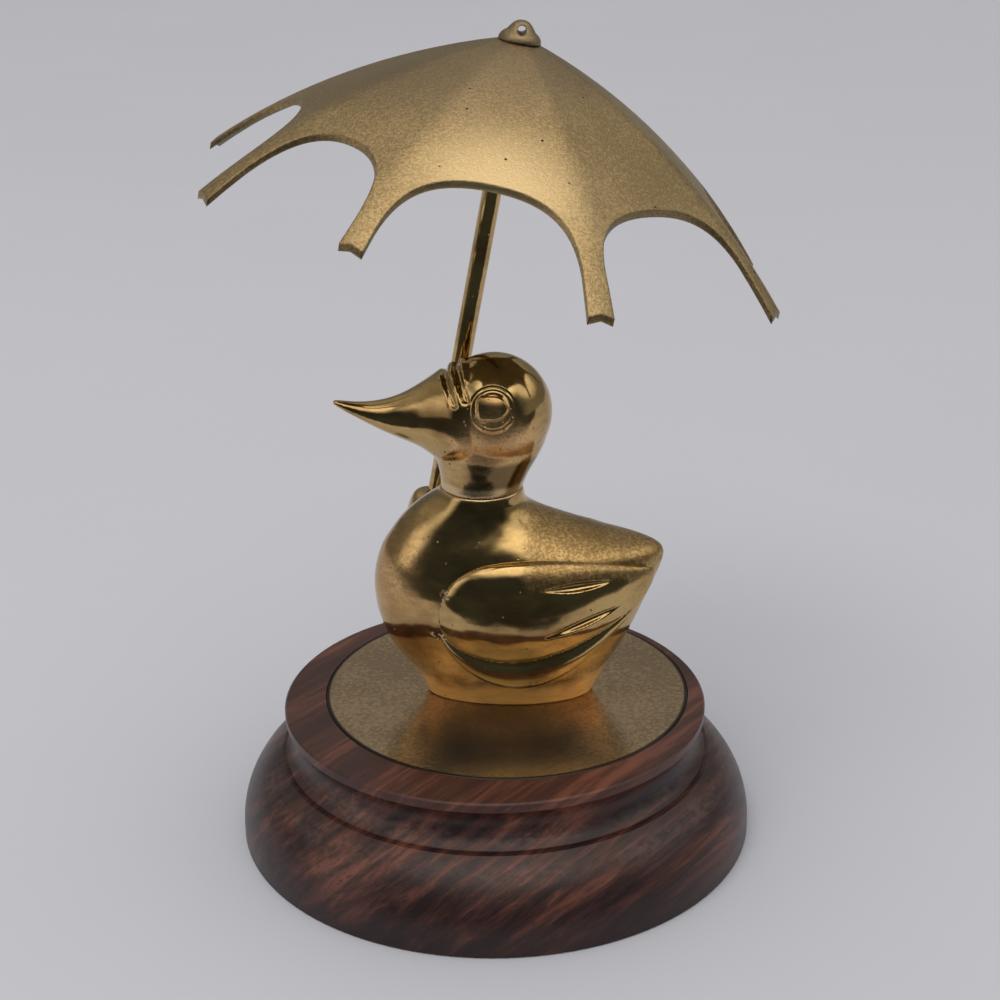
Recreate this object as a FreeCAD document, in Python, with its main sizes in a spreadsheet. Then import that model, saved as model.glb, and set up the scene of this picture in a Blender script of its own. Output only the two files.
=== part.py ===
"""Brass duck under an umbrella, on a turned wood base.

Lengths are in millimetres and angles in degrees. The origin is the centre of the face that the
base rests on, +Z is up and the duck looks along -X.
"""

import FreeCAD, Part
import Sketcher
import math
import os

Vector = FreeCAD.Vector

# Driving sizes, each written once. The sheet holds them, and every piece reads them from it.

WOOD_SIZES = {
    "wood_radius": 63.0,
    "wood_bottom": 0.3,
    "wood_top": 33.1,
    "torus_height": 2.6,
    "torus_round": 20.6,
    "torus_top_inset": 10.2,
    "quirk_depth": 1.0,
    "quirk_height": 0.7,
    "cove_round": 5.9,
    "cove_top_inset": 12.4,
    "rim_inset": 11.4,
    "rim_height": 2.3,
    "rim_ease": 0.4,
    "rim_undercut": 0.4,
}

PLATE_SIZES = {
    "plate_radius": 44.7,
    "plate_thickness": 1.5,
    "plate_proud": 0.2,
    "plate_shift_right": 3.0,
    "plate_shift_back": 3.75,
    "plate_clearance": 0.15,
    "plate_ease": 0.25,
}

FIXING_SIZES = {
    "felt_inset": 5.0,
    "felt_thickness": 1.5,
    "felt_clearance": 0.3,
    "screw_radius": 2.5,
    "screw_clearance": 0.25,
    "screw_length": 32.0,
    "screw_head_radius": 4.75,
    "screw_head_height": 3.2,
    "screw_slot_width": 1.2,
    "screw_slot_depth": 1.6,
    "thread_clearance": 0.1,
    "washer_radius": 7.5,
    "washer_thickness": 1.2,
    "counterbore_radius": 9.0,
    "counterbore_depth": 8.8,
}

DUCK_SIZES = {
    "body_height": 54.5,
    "breast_reach": 32.1,
    "tail_reach": 38.5,
    "body_half_width": 17.6,
    "core_middle_height": 27.0,
    "floor_boss_radius": 6.5,
    "floor_boss_height": 11.0,
    "neck_bore_radius": 5.6,
    "neck_joint_clearance": 0.1,
    "neck_spigot_length": 5.0,
    "neck_radius": 9.8,
    "neck_set_forward": 5.6,
    "head_half_length": 13.6,
    "head_half_width": 13.2,
    "head_half_height": 13.8,
    "head_set_forward": 2.4,
    "head_rise": 18.8,
    "head_core_radius": 9.0,
    "bill_reach": 40.2,
    "bill_root_height": 26.0,
    "bill_half_width": 12.6,
    "eye_radius": 4.2,
    "eye_bead_radius": 0.6,
    "eye_set_forward": 2.8,
    "eye_rise": 4.6,
    "pupil_radius": 2.9,
    "pupil_proud": 0.5,
    "bill_groove_radius": 0.9,
    "bill_groove_forward": 9.6,
    "bill_groove_drop": 0.7,
    "bill_groove_reach": 12.1,
    "bill_groove_lean_angle": 22.0,
    "bill_groove_spacing": 3.2,
    "bill_groove_rise": 5.0,
    "wing_length": 51.8,
    "wing_height": 25.2,
    "wing_front_forward": 16.4,
    "wing_middle_height": 28.5,
    "wing_reach": 20.6,
    "wing_root_depth": 10.0,
    "under_wing_drop": 7.8,
    "under_wing_inset": 2.6,
    "feather_groove_radius": 1.1,
}

UMBRELLA_SIZES = {
    "socket_forward": 16.95,
    "socket_back": 13.85,
    "socket_drop": 8.46,
    "lean_right_angle": 10.82,
    "lean_back_angle": 1.47,
    "umbrella_length": 113.5,
    "shaft_radius": 2.28,
    "shaft_seat_depth": 6.0,
    "shaft_spigot_radius": 1.5,
    "shaft_spigot_length": 2.9,
    "shaft_clearance": 0.1,
    "socket_mouth_radius": 3.7,
    "socket_belly_radius": 6.6,
    "socket_mouth_rise": 1.0,
    "socket_belly_drop": 3.5,
    "socket_length": 13.0,
    "canopy_reach": 72.0,
    "canopy_round": 170.0,
    "canopy_apex_angle": 18.0,
    "canopy_wall": 1.7,
    "canopy_hub_radius": 3.2,
    "canopy_overrun": 10.0,
    "scallop_reach": 46.3,
    "finger_neck_reach": 62.0,
    "finger_neck_half_width": 2.6,
    "finger_tip_half_width": 3.1,
    "finial_radius": 5.0,
    "finial_height": 3.3,
    "finial_top_radius": 1.8,
    "finial_waist_height": 0.9,
    "finial_waist_radius": 3.3,
    "finial_eye_radius": 1.0,
    "finial_eye_height": 1.15,
    "finial_seat_gap": 0.05,
}

OVERRUN = {
    "cut_overrun": 2.0,
}

# Sizes worked out from the driving ones, as formulas of the sheet.

DERIVED_SIZES = {
    "felt_radius": "=wood_radius - felt_inset",
    "felt_recess_radius": "=felt_radius + felt_clearance",
    "felt_recess_top": "=felt_thickness",
    "torus_centre_radius": "=wood_radius - torus_round",
    "torus_top_radius": "=wood_radius - torus_top_inset",
    "quirk_radius": "=torus_top_radius - quirk_depth",
    "cove_top_radius": "=wood_radius - cove_top_inset",
    "rim_radius": "=wood_radius - rim_inset",
    "torus_top_height": "=torus_height"
    " + sqrt(torus_round ^ 2 - (torus_top_radius - torus_centre_radius) ^ 2)",
    "cove_bottom_height": "=torus_top_height + quirk_height",
    "rim_bottom": "=wood_top - rim_height",
    "cove_top_height": "=rim_bottom - rim_undercut",
    "rim_side_top": "=wood_top - rim_ease",
    "rim_flat_radius": "=rim_radius - rim_ease",
    "plate_recess_radius": "=plate_radius + plate_clearance",
    "plate_recess_depth": "=plate_thickness - plate_proud",
    "plate_bottom": "=wood_top - plate_recess_depth",
    "plate_top": "=wood_top + plate_proud",
    "head_middle_height": "=body_height + head_rise",
    "socket_height": "=body_height - socket_drop",
    "eye_height": "=head_middle_height + eye_rise",
    "bill_groove_height": "=head_middle_height - bill_groove_drop",
    "screw_hole_radius": "=screw_radius + screw_clearance",
    "counterbore_top": "=felt_recess_top + counterbore_depth",
    "washer_bottom": "=counterbore_top - washer_thickness",
    "screw_head_bottom": "=washer_bottom - screw_head_height",
    "screw_tip": "=washer_bottom + screw_length",
}

# Level outlines of the body, from the foot up to the neck joint. Each row gives shares of the
# body height, the breast reach, the tail reach, the half width and the breast reach again for
# how far the widest place lies towards the tail, and last how full the tail end is.
BODY_LEVEL_SHARES = (
    (0.000, 0.600, 0.545, 0.523, 0.08, 0.55),
    (0.055, 0.635, 0.580, 0.610, 0.07, 0.55),
    (0.130, 0.710, 0.635, 0.740, 0.06, 0.55),
    (0.250, 0.860, 0.735, 0.900, 0.04, 0.53),
    (0.400, 0.965, 0.840, 0.985, 0.01, 0.48),
    (0.540, 0.995, 0.925, 1.000, -0.03, 0.42),
    (0.650, 0.970, 0.985, 0.965, -0.08, 0.38),
    (0.705, 0.940, 0.975, 0.915, -0.11, 0.38),
    (0.760, 0.890, 0.760, 0.850, -0.14, 0.42),
    (0.820, 0.820, 0.470, 0.755, -0.16, 0.48),
    (0.870, 0.750, 0.265, 0.675, -0.17, 0.53),
    (0.910, 0.675, 0.165, 0.620, -0.17, 0.55),
    (0.950, 0.575, 0.122, 0.580, -0.172, 0.55),
    (1.000, 0.480, 0.109, 0.557, -0.174, 0.55),
)

# The neck above its joint, from there into the head. Each row gives the share of the way up to
# the middle of the head, and how many times as long and as wide as at the joint the neck is.
NECK_SECTION_SHARES = (
    (0.00, 1.00, 1.00),
    (0.20, 1.08, 1.03),
    (0.45, 1.26, 1.10),
    (0.65, 1.36, 1.14),
    (0.90, 1.30, 1.08),
)

# How much smaller the hollow of the casting is than its outside, along X, Y and Z.
CORE_SHARES = (0.84, 0.78, 0.78)

# Upright outlines of the bill, from inside the head to the tip. Each row gives the share of the
# way to the tip, then shares of the root height for the top and the bottom above the eye line,
# and the share of the half width.
BILL_SECTION_SHARES = (
    (0.060, 0.500, -0.560, 1.000),
    (0.230, 0.480, -0.540, 0.960),
    (0.330, 0.425, -0.505, 0.860),
    (0.400, 0.355, -0.440, 0.730),
    (0.480, 0.270, -0.345, 0.590),
    (0.600, 0.165, -0.255, 0.430),
    (0.740, 0.100, -0.155, 0.305),
    (0.870, 0.090, -0.045, 0.190),
    (0.960, 0.105, 0.035, 0.110),
    (1.000, 0.113, 0.075, 0.060),
)

# Upright outlines of a wing, from its round front to its point by the tail. Each row gives the
# share of its length, how far its middle lies above the wing's middle height as a share of the
# wing height, shares of its half height and of its reach from the middle of the duck, and the
# share of the drop and of the inset of its under layer.
WING_SECTION_SHARES = (
    (0.000, -0.020, 0.100, 0.700, 0.15),
    (0.040, -0.015, 0.520, 0.830, 0.45),
    (0.150, 0.000, 0.840, 0.945, 0.75),
    (0.350, 0.000, 1.000, 1.000, 1.00),
    (0.580, 0.045, 0.890, 0.940, 0.92),
    (0.780, 0.110, 0.620, 0.765, 0.50),
    (0.920, 0.170, 0.340, 0.550, 0.20),
    (1.000, 0.240, 0.080, 0.350, 0.10),
)

# How far down the under layer of a wing is widest, as a share of its height, and how deep the
# crease above it runs in, as a share of how far it is set in.
UNDER_WING_BULGE_SHARE = 0.5
CREASE_DEPTH_SHARE = 1.3

# The two grooves between the long feathers of a wing. Each row gives the share of the wing's
# length and the height above its middle, as a share of its height, of the front end and then of
# the back end.
FEATHER_GROOVE_SHARES = (
    (0.466, 0.274, 0.810, 0.286),
    (0.488, -0.210, 0.858, 0.036),
)

# How wide a feather groove is from its front end to its back end, as shares of its radius, and
# how far its middle line stands outside the surface, as a share of the same radius.
GROOVE_WIDTH_SHARES = (0.10, 0.70, 1.00, 0.70, 0.10)
GROOVE_LIFT_SHARE = 0.20

# Fullness of a quarter curve that is as round as an ellipse, as a share of its half axis.
ROUND_SHARE = 0.5523

# Level outlines of the canopy, as shares of its reach.
CANOPY_LEVEL_SHARES = (0.12, 0.25, 0.40, 0.55, 0.70, 0.84, 0.96, 1.06)

# Between two ribs the cloth of the canopy bulges past the straight line by this share.
PANEL_FULLNESS_SHARE = 0.5

# Directions of the eight ribs about the umbrella's shaft, in degrees from the viewer's side
# towards the duck's tail, then as shares of the canopy's: how far each rib reaches, how far it
# falls, and how far out the gap after it stops.
RIB_ANGLES = (-151.0, -106.3, -63.6, -25.7, 20.1, 67.0, 113.5, 159.0)
RIB_REACH_SHARES = (0.970, 0.965, 0.975, 0.925, 0.968, 1.002, 1.020, 0.985)
RIB_DROP_SHARES = (0.925, 0.910, 0.930, 0.980, 1.000, 0.988, 1.000, 0.970)
GAP_REACH_SHARES = (1.000, 1.000, 1.000, 1.000, 1.040, 1.040, 1.000, 1.000)

# The hollow of a scallop: how far its side and its end pull the curve, as shares of its depth.
SCALLOP_SIDE_SHARE = 0.60
SCALLOP_END_SHARE = 0.55

document = FreeCAD.newDocument("brass_duck")
sheet = document.addObject("Spreadsheet::Sheet", "Sizes")


def fill_sheet():
    """Writes every size to a row of its own, with its name beside it and as its alias."""
    row = 1
    driving = (WOOD_SIZES, PLATE_SIZES, FIXING_SIZES, DUCK_SIZES, UMBRELLA_SIZES, OVERRUN)
    for group in driving + (DERIVED_SIZES,):
        for alias, value in group.items():
            sheet.set(f"A{row}", alias)
            sheet.set(f"B{row}", str(value))
            sheet.setAlias(f"B{row}", alias)
            row += 1
    document.recompute()


fill_sheet()


def size(alias):
    """A size of the sheet, as a number."""
    return float(sheet.get(alias))


def bind(item, path, alias):
    """Ties one property of an object to a size of the sheet."""
    item.setExpression(path, f"Sizes.{alias}")


# Sketches and simple features


def origin_plane(body, role):
    """The origin plane of a body that has this role."""
    return [plane for plane in body.Origin.OriginFeatures if plane.Role == role][0]


def new_sketch(body, name, role, height=None):
    """An empty sketch on an origin plane of the body, lifted along its normal by a size."""
    sketch = body.newObject("Sketcher::SketchObject", name)
    sketch.AttachmentSupport = [(origin_plane(body, role), "")]
    sketch.MapMode = "FlatFace"
    if height:
        bind(sketch, "AttachmentOffset.Base.z", height)
    return sketch


def pin_point(sketch, edge, end, across, up):
    """Holds a sketch point at two sizes from the origin, or on an axis for a size of None."""
    if across:
        number = sketch.addConstraint(constraint("DistanceX", -1, 1, edge, end, size(across)))
        bind(sketch, f"Constraints[{number}]", across)
    else:
        sketch.addConstraint(constraint("PointOnObject", edge, end, -2))
    if up:
        number = sketch.addConstraint(constraint("DistanceY", -1, 1, edge, end, size(up)))
        bind(sketch, f"Constraints[{number}]", up)
    else:
        sketch.addConstraint(constraint("PointOnObject", edge, end, -1))


def constraint(*terms):
    """A sketch constraint."""
    return Sketcher.Constraint(*terms)


def sketch_point(across, up):
    """The place in a sketch of a pair of sizes, where None is zero."""
    return Vector(size(across) if across else 0, size(up) if up else 0, 0)


def closed_outline(sketch, corners, arcs=None):
    """Draws a closed outline through corners given as pairs of sizes.

    arcs maps the number of a corner to the radius of the arc that leaves it, and to the side
    that the arc bends to: 1 where its middle lies to the left of the way to the next corner.
    """
    arcs = arcs or {}
    count = len(corners)
    for index in range(count):
        start = sketch_point(*corners[index])
        end = sketch_point(*corners[(index + 1) % count])
        if index in arcs:
            radius, side = arcs[index]
            sketch.addGeometry(arc_between(start, end, size(radius), side), False)
        else:
            sketch.addGeometry(Part.LineSegment(start, end), False)
    for index in range(count):
        following = (index + 1) % count
        first_end, next_start = outline_ends(arcs, index, following)
        sketch.addConstraint(constraint("Coincident", index, first_end, following, next_start))
        if index in arcs:
            radius, side = arcs[index]
            number = sketch.addConstraint(constraint("Radius", index, size(radius)))
            bind(sketch, f"Constraints[{number}]", radius)
    for index in range(count):
        start_end = 2 if index in arcs and arcs[index][1] < 0 else 1
        pin_point(sketch, index, start_end, *corners[index])


def outline_ends(arcs, index, following):
    """Which end of an edge meets which end of the next: an arc that bends right runs backwards."""
    first_end = 1 if index in arcs and arcs[index][1] < 0 else 2
    next_start = 2 if following in arcs and arcs[following][1] < 0 else 1
    return first_end, next_start


def arc_between(start, end, radius, side):
    """The short arc between two points, with its centre to the left for a side of 1."""
    chord = end - start
    middle = (start + end) * 0.5
    left = Vector(-chord.y, chord.x, 0).normalize()
    centre = middle + left * (side * math.sqrt(radius**2 - (chord.Length / 2) ** 2))
    circle = Part.Circle(centre, Vector(0, 0, 1), radius)
    first = start - centre
    last = end - centre
    first_angle = math.atan2(first.y, first.x)
    last_angle = math.atan2(last.y, last.x)
    if side < 0:
        first_angle, last_angle = last_angle, first_angle
    return Part.ArcOfCircle(circle, first_angle, last_angle)


def circle_sketch(body, name, radius, across=None, up=None, height=None):
    """A level sketch of one circle, with its centre at two sizes from the origin."""
    sketch = new_sketch(body, name, "XY_Plane", height)
    sketch.addGeometry(Part.Circle(sketch_point(across, up), Vector(0, 0, 1), size(radius)), False)
    number = sketch.addConstraint(constraint("Radius", 0, size(radius)))
    bind(sketch, f"Constraints[{number}]", radius)
    pin_point(sketch, 0, 3, across, up)
    return sketch


def plate_circle(body, name, radius, height):
    """A level circle about the middle of the brass disc."""
    return circle_sketch(body, name, radius, "plate_shift_right", "plate_shift_back", height)


def new_body(label):
    """An empty body that becomes one piece."""
    body = document.addObject("PartDesign::Body", label)
    body.Label = label
    return body


def revolved(body, sketch):
    """Turns a sketch about its upright axis."""
    feature = body.newObject("PartDesign::Revolution", sketch.Name + "_turned")
    feature.Profile = sketch
    feature.ReferenceAxis = (sketch, ["V_Axis"])
    feature.Angle = 360
    document.recompute()
    return feature


def padded(body, sketch, length):
    """Extrudes a sketch along its normal by a size."""
    feature = body.newObject("PartDesign::Pad", sketch.Name + "_pad")
    feature.Profile = sketch
    bind(feature, "Length", length)
    document.recompute()
    return feature


def pocketed(body, sketch, length, upwards=False):
    """Cuts a sketch into the body by a size, against its normal unless it goes upwards."""
    before = body.Shape.Volume
    feature = body.newObject("PartDesign::Pocket", sketch.Name + "_cut")
    feature.Profile = sketch
    feature.Reversed = upwards
    bind(feature, "Length", length)
    document.recompute()
    if body.Shape.Volume >= before:
        raise RuntimeError(f"{sketch.Name} cuts nothing")
    return feature


# The base: wood, felt, brass disc and the screw that holds the duck


def make_wood_base():
    """The turned base, with the recess of the disc above and of the felt and screw head below."""
    body = new_body("wood_base")
    profile = new_sketch(body, "base_profile", "XZ_Plane")
    corners = (
        (None, "felt_recess_top"),
        ("felt_recess_radius", "felt_recess_top"),
        ("felt_recess_radius", "wood_bottom"),
        ("wood_radius", "wood_bottom"),
        ("wood_radius", "torus_height"),
        ("torus_top_radius", "torus_top_height"),
        ("quirk_radius", "torus_top_height"),
        ("quirk_radius", "cove_bottom_height"),
        ("cove_top_radius", "cove_top_height"),
        ("rim_radius", "rim_bottom"),
        ("rim_radius", "rim_side_top"),
        ("rim_flat_radius", "wood_top"),
        (None, "wood_top"),
    )
    arcs = {4: ("torus_round", 1), 7: ("cove_round", -1)}
    closed_outline(profile, corners, arcs)
    document.recompute()
    revolved(body, profile)
    recess = plate_circle(body, "disc_recess", "plate_recess_radius", "wood_top")
    document.recompute()
    pocketed(body, recess, "plate_recess_depth")
    hole = plate_circle(body, "screw_hole", "screw_hole_radius", "wood_top")
    document.recompute()
    pocketed(body, hole, "wood_top")
    counterbore = plate_circle(body, "counterbore", "counterbore_radius", "felt_recess_top")
    document.recompute()
    pocketed(body, counterbore, "counterbore_depth", upwards=True)
    return body


def make_base_felt():
    """The felt disc under the base, which the whole ornament rests on."""
    body = new_body("base_felt")
    outline = circle_sketch(body, "felt_outline", "felt_radius")
    document.recompute()
    padded(body, outline, "felt_thickness")
    return body


def make_base_plate():
    """The brass disc let into the top of the base, a little off its centre."""
    body = new_body("base_plate")
    outline = plate_circle(body, "disc_outline", "plate_radius", "plate_bottom")
    document.recompute()
    pad = padded(body, outline, "plate_thickness")
    eased = body.newObject("PartDesign::Chamfer", "disc_ease")
    eased.Base = (pad, [top_edge(pad.Shape)])
    bind(eased, "Size", "plate_ease")
    document.recompute()
    hole = plate_circle(body, "disc_hole", "screw_hole_radius", "plate_top")
    document.recompute()
    pocketed(body, hole, "plate_thickness")
    return body


def top_edge(shape):
    """The name of the highest closed edge of a shape."""
    heights = [edge.BoundBox.ZMin for edge in shape.Edges]
    return f"Edge{heights.index(max(heights)) + 1}"


def make_mounting_washer():
    """The flat washer between the screw head and the wood."""
    body = new_body("mounting_washer")
    outline = plate_circle(body, "washer_outline", "washer_radius", "washer_bottom")
    document.recompute()
    padded(body, outline, "washer_thickness")
    hole = plate_circle(body, "washer_hole", "screw_hole_radius", "counterbore_top")
    document.recompute()
    pocketed(body, hole, "washer_thickness")
    return body


def make_mounting_screw():
    """The slotted pan-head screw that comes up from below into the duck's floor."""
    body = new_body("mounting_screw")
    profile = new_sketch(body, "screw_profile", "XZ_Plane")
    corners = (
        (None, "screw_head_bottom"),
        ("screw_head_radius", "screw_head_bottom"),
        ("screw_head_radius", "washer_bottom"),
        ("screw_radius", "washer_bottom"),
        ("screw_radius", "screw_tip"),
        (None, "screw_tip"),
    )
    closed_outline(profile, corners)
    document.recompute()
    revolved(body, profile)
    slot = new_sketch(body, "screw_slot", "XY_Plane", "screw_head_bottom")
    half_width = size("screw_slot_width") / 2
    half_length = size("screw_head_radius") + size("cut_overrun")
    slot_corners = (
        Vector(-half_length, -half_width, 0),
        Vector(half_length, -half_width, 0),
        Vector(half_length, half_width, 0),
        Vector(-half_length, half_width, 0),
    )
    for index in range(4):
        slot.addGeometry(Part.LineSegment(slot_corners[index], slot_corners[(index + 1) % 4]), False)
    for index in range(4):
        slot.addConstraint(constraint("Coincident", index, 2, (index + 1) % 4, 1))
    slot.addConstraint(constraint("Horizontal", 0))
    slot.addConstraint(constraint("Horizontal", 2))
    slot.addConstraint(constraint("Vertical", 1))
    slot.addConstraint(constraint("Vertical", 3))
    slot.addConstraint(constraint("Symmetric", 0, 1, 1, 2, -1, 1))
    width = slot.addConstraint(constraint("DistanceY", 1, 1, 1, 2, 2 * half_width))
    bind(slot, f"Constraints[{width}]", "screw_slot_width")
    length = slot.addConstraint(constraint("DistanceX", 0, 1, 0, 2, 2 * half_length))
    slot.setExpression(f"Constraints[{length}]", "2 * (Sizes.screw_head_radius + Sizes.cut_overrun)")
    document.recompute()
    pocketed(body, slot, "screw_slot_depth", upwards=True)
    body.Placement = FreeCAD.Placement(plate_centre(0), FreeCAD.Rotation())
    return body


def plate_centre(height):
    """The point above the middle of the brass disc at this height."""
    return Vector(size("plate_shift_right"), size("plate_shift_back"), height)


# The duck. Its own frame has its origin where its foot meets the disc, with -X towards the bill.


def duck_place():
    """Where the duck's frame stands."""
    return FreeCAD.Placement(plate_centre(size("plate_top")), FreeCAD.Rotation())


def quarter_curve(tip, side, tip_pull, side_pull):
    """A quarter of a round outline, which leaves its tip and reaches its side along the pulls."""
    curve = Part.BezierCurve()
    curve.setPoles([tip, tip + tip_pull, side + side_pull, side])
    return curve.toShape()


def level_outline(front, back, half_width, middle, height, tail_share=ROUND_SHARE):
    """A closed level outline, wider at its middle, whose tail end is as full as its share says."""
    breast = Vector(-front, 0, height)
    stern = Vector(back, 0, height)
    edges = []
    for tip, turn, side in ((breast, 1, -1), (stern, 1, 1), (stern, -1, 1), (breast, -1, -1)):
        flank = Vector(middle, turn * half_width, height)
        end_share = ROUND_SHARE if side < 0 else tail_share
        across = Vector(0, turn * half_width * end_share, 0)
        along = Vector((tip.x - middle) * ROUND_SHARE, 0, 0)
        edges.append(quarter_curve(tip, flank, across, along))
    return closed_wire(edges)


def closed_wire(edges):
    """A wire of edges that already meet, sorted."""
    return Part.Wire(Part.__sortEdges__(edges))


def upright_outline(along, top, bottom, left, right, middle):
    """A closed outline across X, round, with its top and bottom over the given middle."""
    height = (top + bottom) / 2
    crown = Vector(along, middle, top)
    keel = Vector(along, middle, bottom)
    near = Vector(along, left, height)
    far = Vector(along, right, height)
    edges = []
    for tip in (crown, keel):
        for flank in (near, far):
            edges.append(rounded_quarter(tip, flank))
    return closed_wire(edges)


def body_form(length_share, width_share, height_share):
    """The body's outside, or its hollow where the shares are under one, closed at both ends."""
    middle_height = size("core_middle_height")
    outlines = []
    for level, front, back, width, middle, tail_share in BODY_LEVEL_SHARES:
        height = level * size("body_height")
        outlines.append(
            level_outline(
                front * size("breast_reach") * length_share,
                back * size("tail_reach") * length_share,
                width * size("body_half_width") * width_share,
                middle * size("breast_reach") * length_share,
                middle_height + (height - middle_height) * height_share,
                tail_share,
            )
        )
    return Part.makeLoft(outlines, True, False)


def upright_cylinder(radius, bottom, top, along=0.0, across=0.0):
    """A cylinder between two heights."""
    return Part.makeCylinder(radius, top - bottom, Vector(along, across, bottom))


def make_duck_body():
    """The hollow cast body, bored below for the screw and above for the head's spigot."""
    outside = body_form(1, 1, 1)
    hollow = body_form(*CORE_SHARES)
    boss = upright_cylinder(size("floor_boss_radius"), 0, size("floor_boss_height"))
    hollow = hollow.cut(boss)
    thread_radius = size("screw_radius") + size("thread_clearance")
    thread_top = size("floor_boss_height") + size("cut_overrun")
    thread = upright_cylinder(thread_radius, -size("cut_overrun"), thread_top)
    neck_bore = upright_cylinder(
        size("neck_bore_radius"),
        size("body_height") - size("neck_spigot_length") - size("cut_overrun"),
        size("body_height") + size("cut_overrun"),
        along=-size("neck_set_forward"),
    )
    return outside.cut([hollow, thread, neck_bore, shaft_hole()]).removeSplitter()


def shaft_hole():
    """The hole for the foot of the umbrella's shaft, in the duck's frame."""
    socket_level = -size("umbrella_length")
    hole = upright_cylinder(
        size("shaft_radius") + size("shaft_clearance"),
        socket_level - size("shaft_seat_depth"),
        socket_level + size("socket_length"),
    )
    hole.Placement = duck_place().inverse().multiply(umbrella_place())
    return hole


def make_duck_head():
    """The hollow cast head with its neck, bill and eyes, and a spigot that fits the body's neck."""
    middle = Vector(-size("head_set_forward"), 0, size("head_middle_height"))
    half_sizes = (size("head_half_length"), size("head_half_width"), size("head_half_height"))
    skull = ellipsoid(middle, *half_sizes)
    head = skull.fuse([neck_form(), bill_form()])
    for side in (-1, 1):
        head = with_eye(head, side)
    spigot_radius = size("neck_bore_radius") - size("neck_joint_clearance")
    spigot = upright_cylinder(
        spigot_radius,
        size("body_height") - size("neck_spigot_length"),
        size("head_middle_height"),
        along=-size("neck_set_forward"),
    )
    core = Part.makeSphere(size("head_core_radius"), middle)
    return head.fuse(spigot).cut([core] + bill_grooves()).removeSplitter()


def ellipsoid(middle, half_length, half_width, half_height):
    """A solid ellipsoid along the axes."""
    stretch = FreeCAD.Matrix()
    stretch.scale(half_length, half_width, half_height)
    ball = Part.makeSphere(1).transformGeometry(stretch)
    ball.translate(middle)
    return ball


def neck_form():
    """The neck, which opens from the joint into the underside of the head."""
    joint_height = size("body_height")
    inside_height = size("head_middle_height")
    joint_forward = size("neck_set_forward")
    inside_forward = size("head_set_forward")
    outlines = []
    for share, length_share, width_share in NECK_SECTION_SHARES:
        height = joint_height + (inside_height - joint_height) * share
        forward = joint_forward + (inside_forward - joint_forward) * share
        reach = size("neck_radius") * length_share
        half_width = size("neck_radius") * width_share
        outlines.append(level_outline(forward + reach, reach - forward, half_width, -forward, height))
    return Part.makeLoft(outlines, True, False)


def bill_form():
    """The bill: a curved cone from inside the head to its upturned tip."""
    outlines = []
    for way, top, bottom, width in BILL_SECTION_SHARES:
        outlines.append(
            upright_outline(
                -way * size("bill_reach"),
                size("head_middle_height") + top * size("bill_root_height"),
                size("head_middle_height") + bottom * size("bill_root_height"),
                -width * size("bill_half_width"),
                width * size("bill_half_width"),
                0,
            )
        )
    return Part.makeLoft(outlines, True, False)


def head_side(forward, height):
    """How far the head's surface stands from its middle plane at a place seen from its side."""
    along = (forward - size("head_set_forward")) / size("head_half_length")
    upwards = (height - size("head_middle_height")) / size("head_half_height")
    return size("head_half_width") * math.sqrt(1 - along**2 - upwards**2)


def with_eye(head, side):
    """The head with a beaded ring and a low pupil on one side."""
    reach = head_side(size("eye_set_forward"), size("eye_height"))
    place = Vector(-size("eye_set_forward"), side * reach, size("eye_height"))
    middle = Vector(-size("head_set_forward"), 0, size("head_middle_height"))
    outwards = Vector(
        (place.x - middle.x) / size("head_half_length") ** 2,
        place.y / size("head_half_width") ** 2,
        (place.z - middle.z) / size("head_half_height") ** 2,
    ).normalize()
    sunk = place - outwards * (size("eye_radius") ** 2 / (2 * size("head_half_width")))
    bead = Part.makeTorus(size("eye_radius"), size("eye_bead_radius"), sunk, outwards)
    pupil_rise = size("pupil_proud") + size("eye_radius") ** 2 / (2 * size("head_half_width"))
    pupil = Part.makeCylinder(size("pupil_radius"), pupil_rise, sunk, outwards)
    return head.fuse([bead, pupil])


def bill_grooves():
    """The two thin grooves over the root of the bill, which lean forward at the top."""
    lean = math.radians(size("bill_groove_lean_angle"))
    backwards = Vector(math.cos(lean), 0, math.sin(lean))
    front = Vector(-size("bill_groove_forward"), 0, size("bill_groove_height"))
    cover = 2 * size("bill_groove_reach")
    grooves = []
    for number in (0, 1):
        middle = front + backwards * (number * size("bill_groove_spacing"))
        ring = Part.makeTorus(size("bill_groove_reach"), size("bill_groove_radius"), middle, backwards)
        start = Vector(-2 * cover, -cover, middle.z + size("bill_groove_rise"))
        grooves.append(ring.common(Part.makeBox(2 * cover, 2 * cover, cover, start)))
    return grooves


def wing_outline(side, along, crown, edge, keel, outer, inner, inset):
    """A closed outline across a wing: the feathers above its edge, then the under layer, set in.

    The heights are those of its top, of the edge of the feathers and of its bottom; the rest are
    distances from the duck's middle plane, and how far the under layer is set in.
    """
    centre = (outer + inner) / 2
    flank_height = (crown + edge) / 2
    under_height = edge + (keel - edge) * UNDER_WING_BULGE_SHARE
    inner_height = (crown + keel) / 2
    top = Vector(along, side * centre, crown)
    flank = Vector(along, side * outer, flank_height)
    crease = Vector(along, side * (outer - inset * CREASE_DEPTH_SHARE), edge)
    bulge = Vector(along, side * (outer - inset), under_height)
    bottom = Vector(along, side * centre, keel)
    back = Vector(along, side * inner, inner_height)
    return Part.Wire(
        [
            rounded_quarter(top, flank),
            rounded_quarter(crease, flank).reversed(),
            rounded_quarter(crease, bulge),
            rounded_quarter(bottom, bulge).reversed(),
            rounded_quarter(bottom, back),
            rounded_quarter(top, back).reversed(),
        ]
    )


def rounded_quarter(tip, flank):
    """A quarter of a round outline across X, level at its tip and upright at its flank."""
    across = Vector(0, (flank.y - tip.y) * ROUND_SHARE, 0)
    upwards = Vector(0, 0, (tip.z - flank.z) * ROUND_SHARE)
    return quarter_curve(tip, flank, across, upwards)


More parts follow.
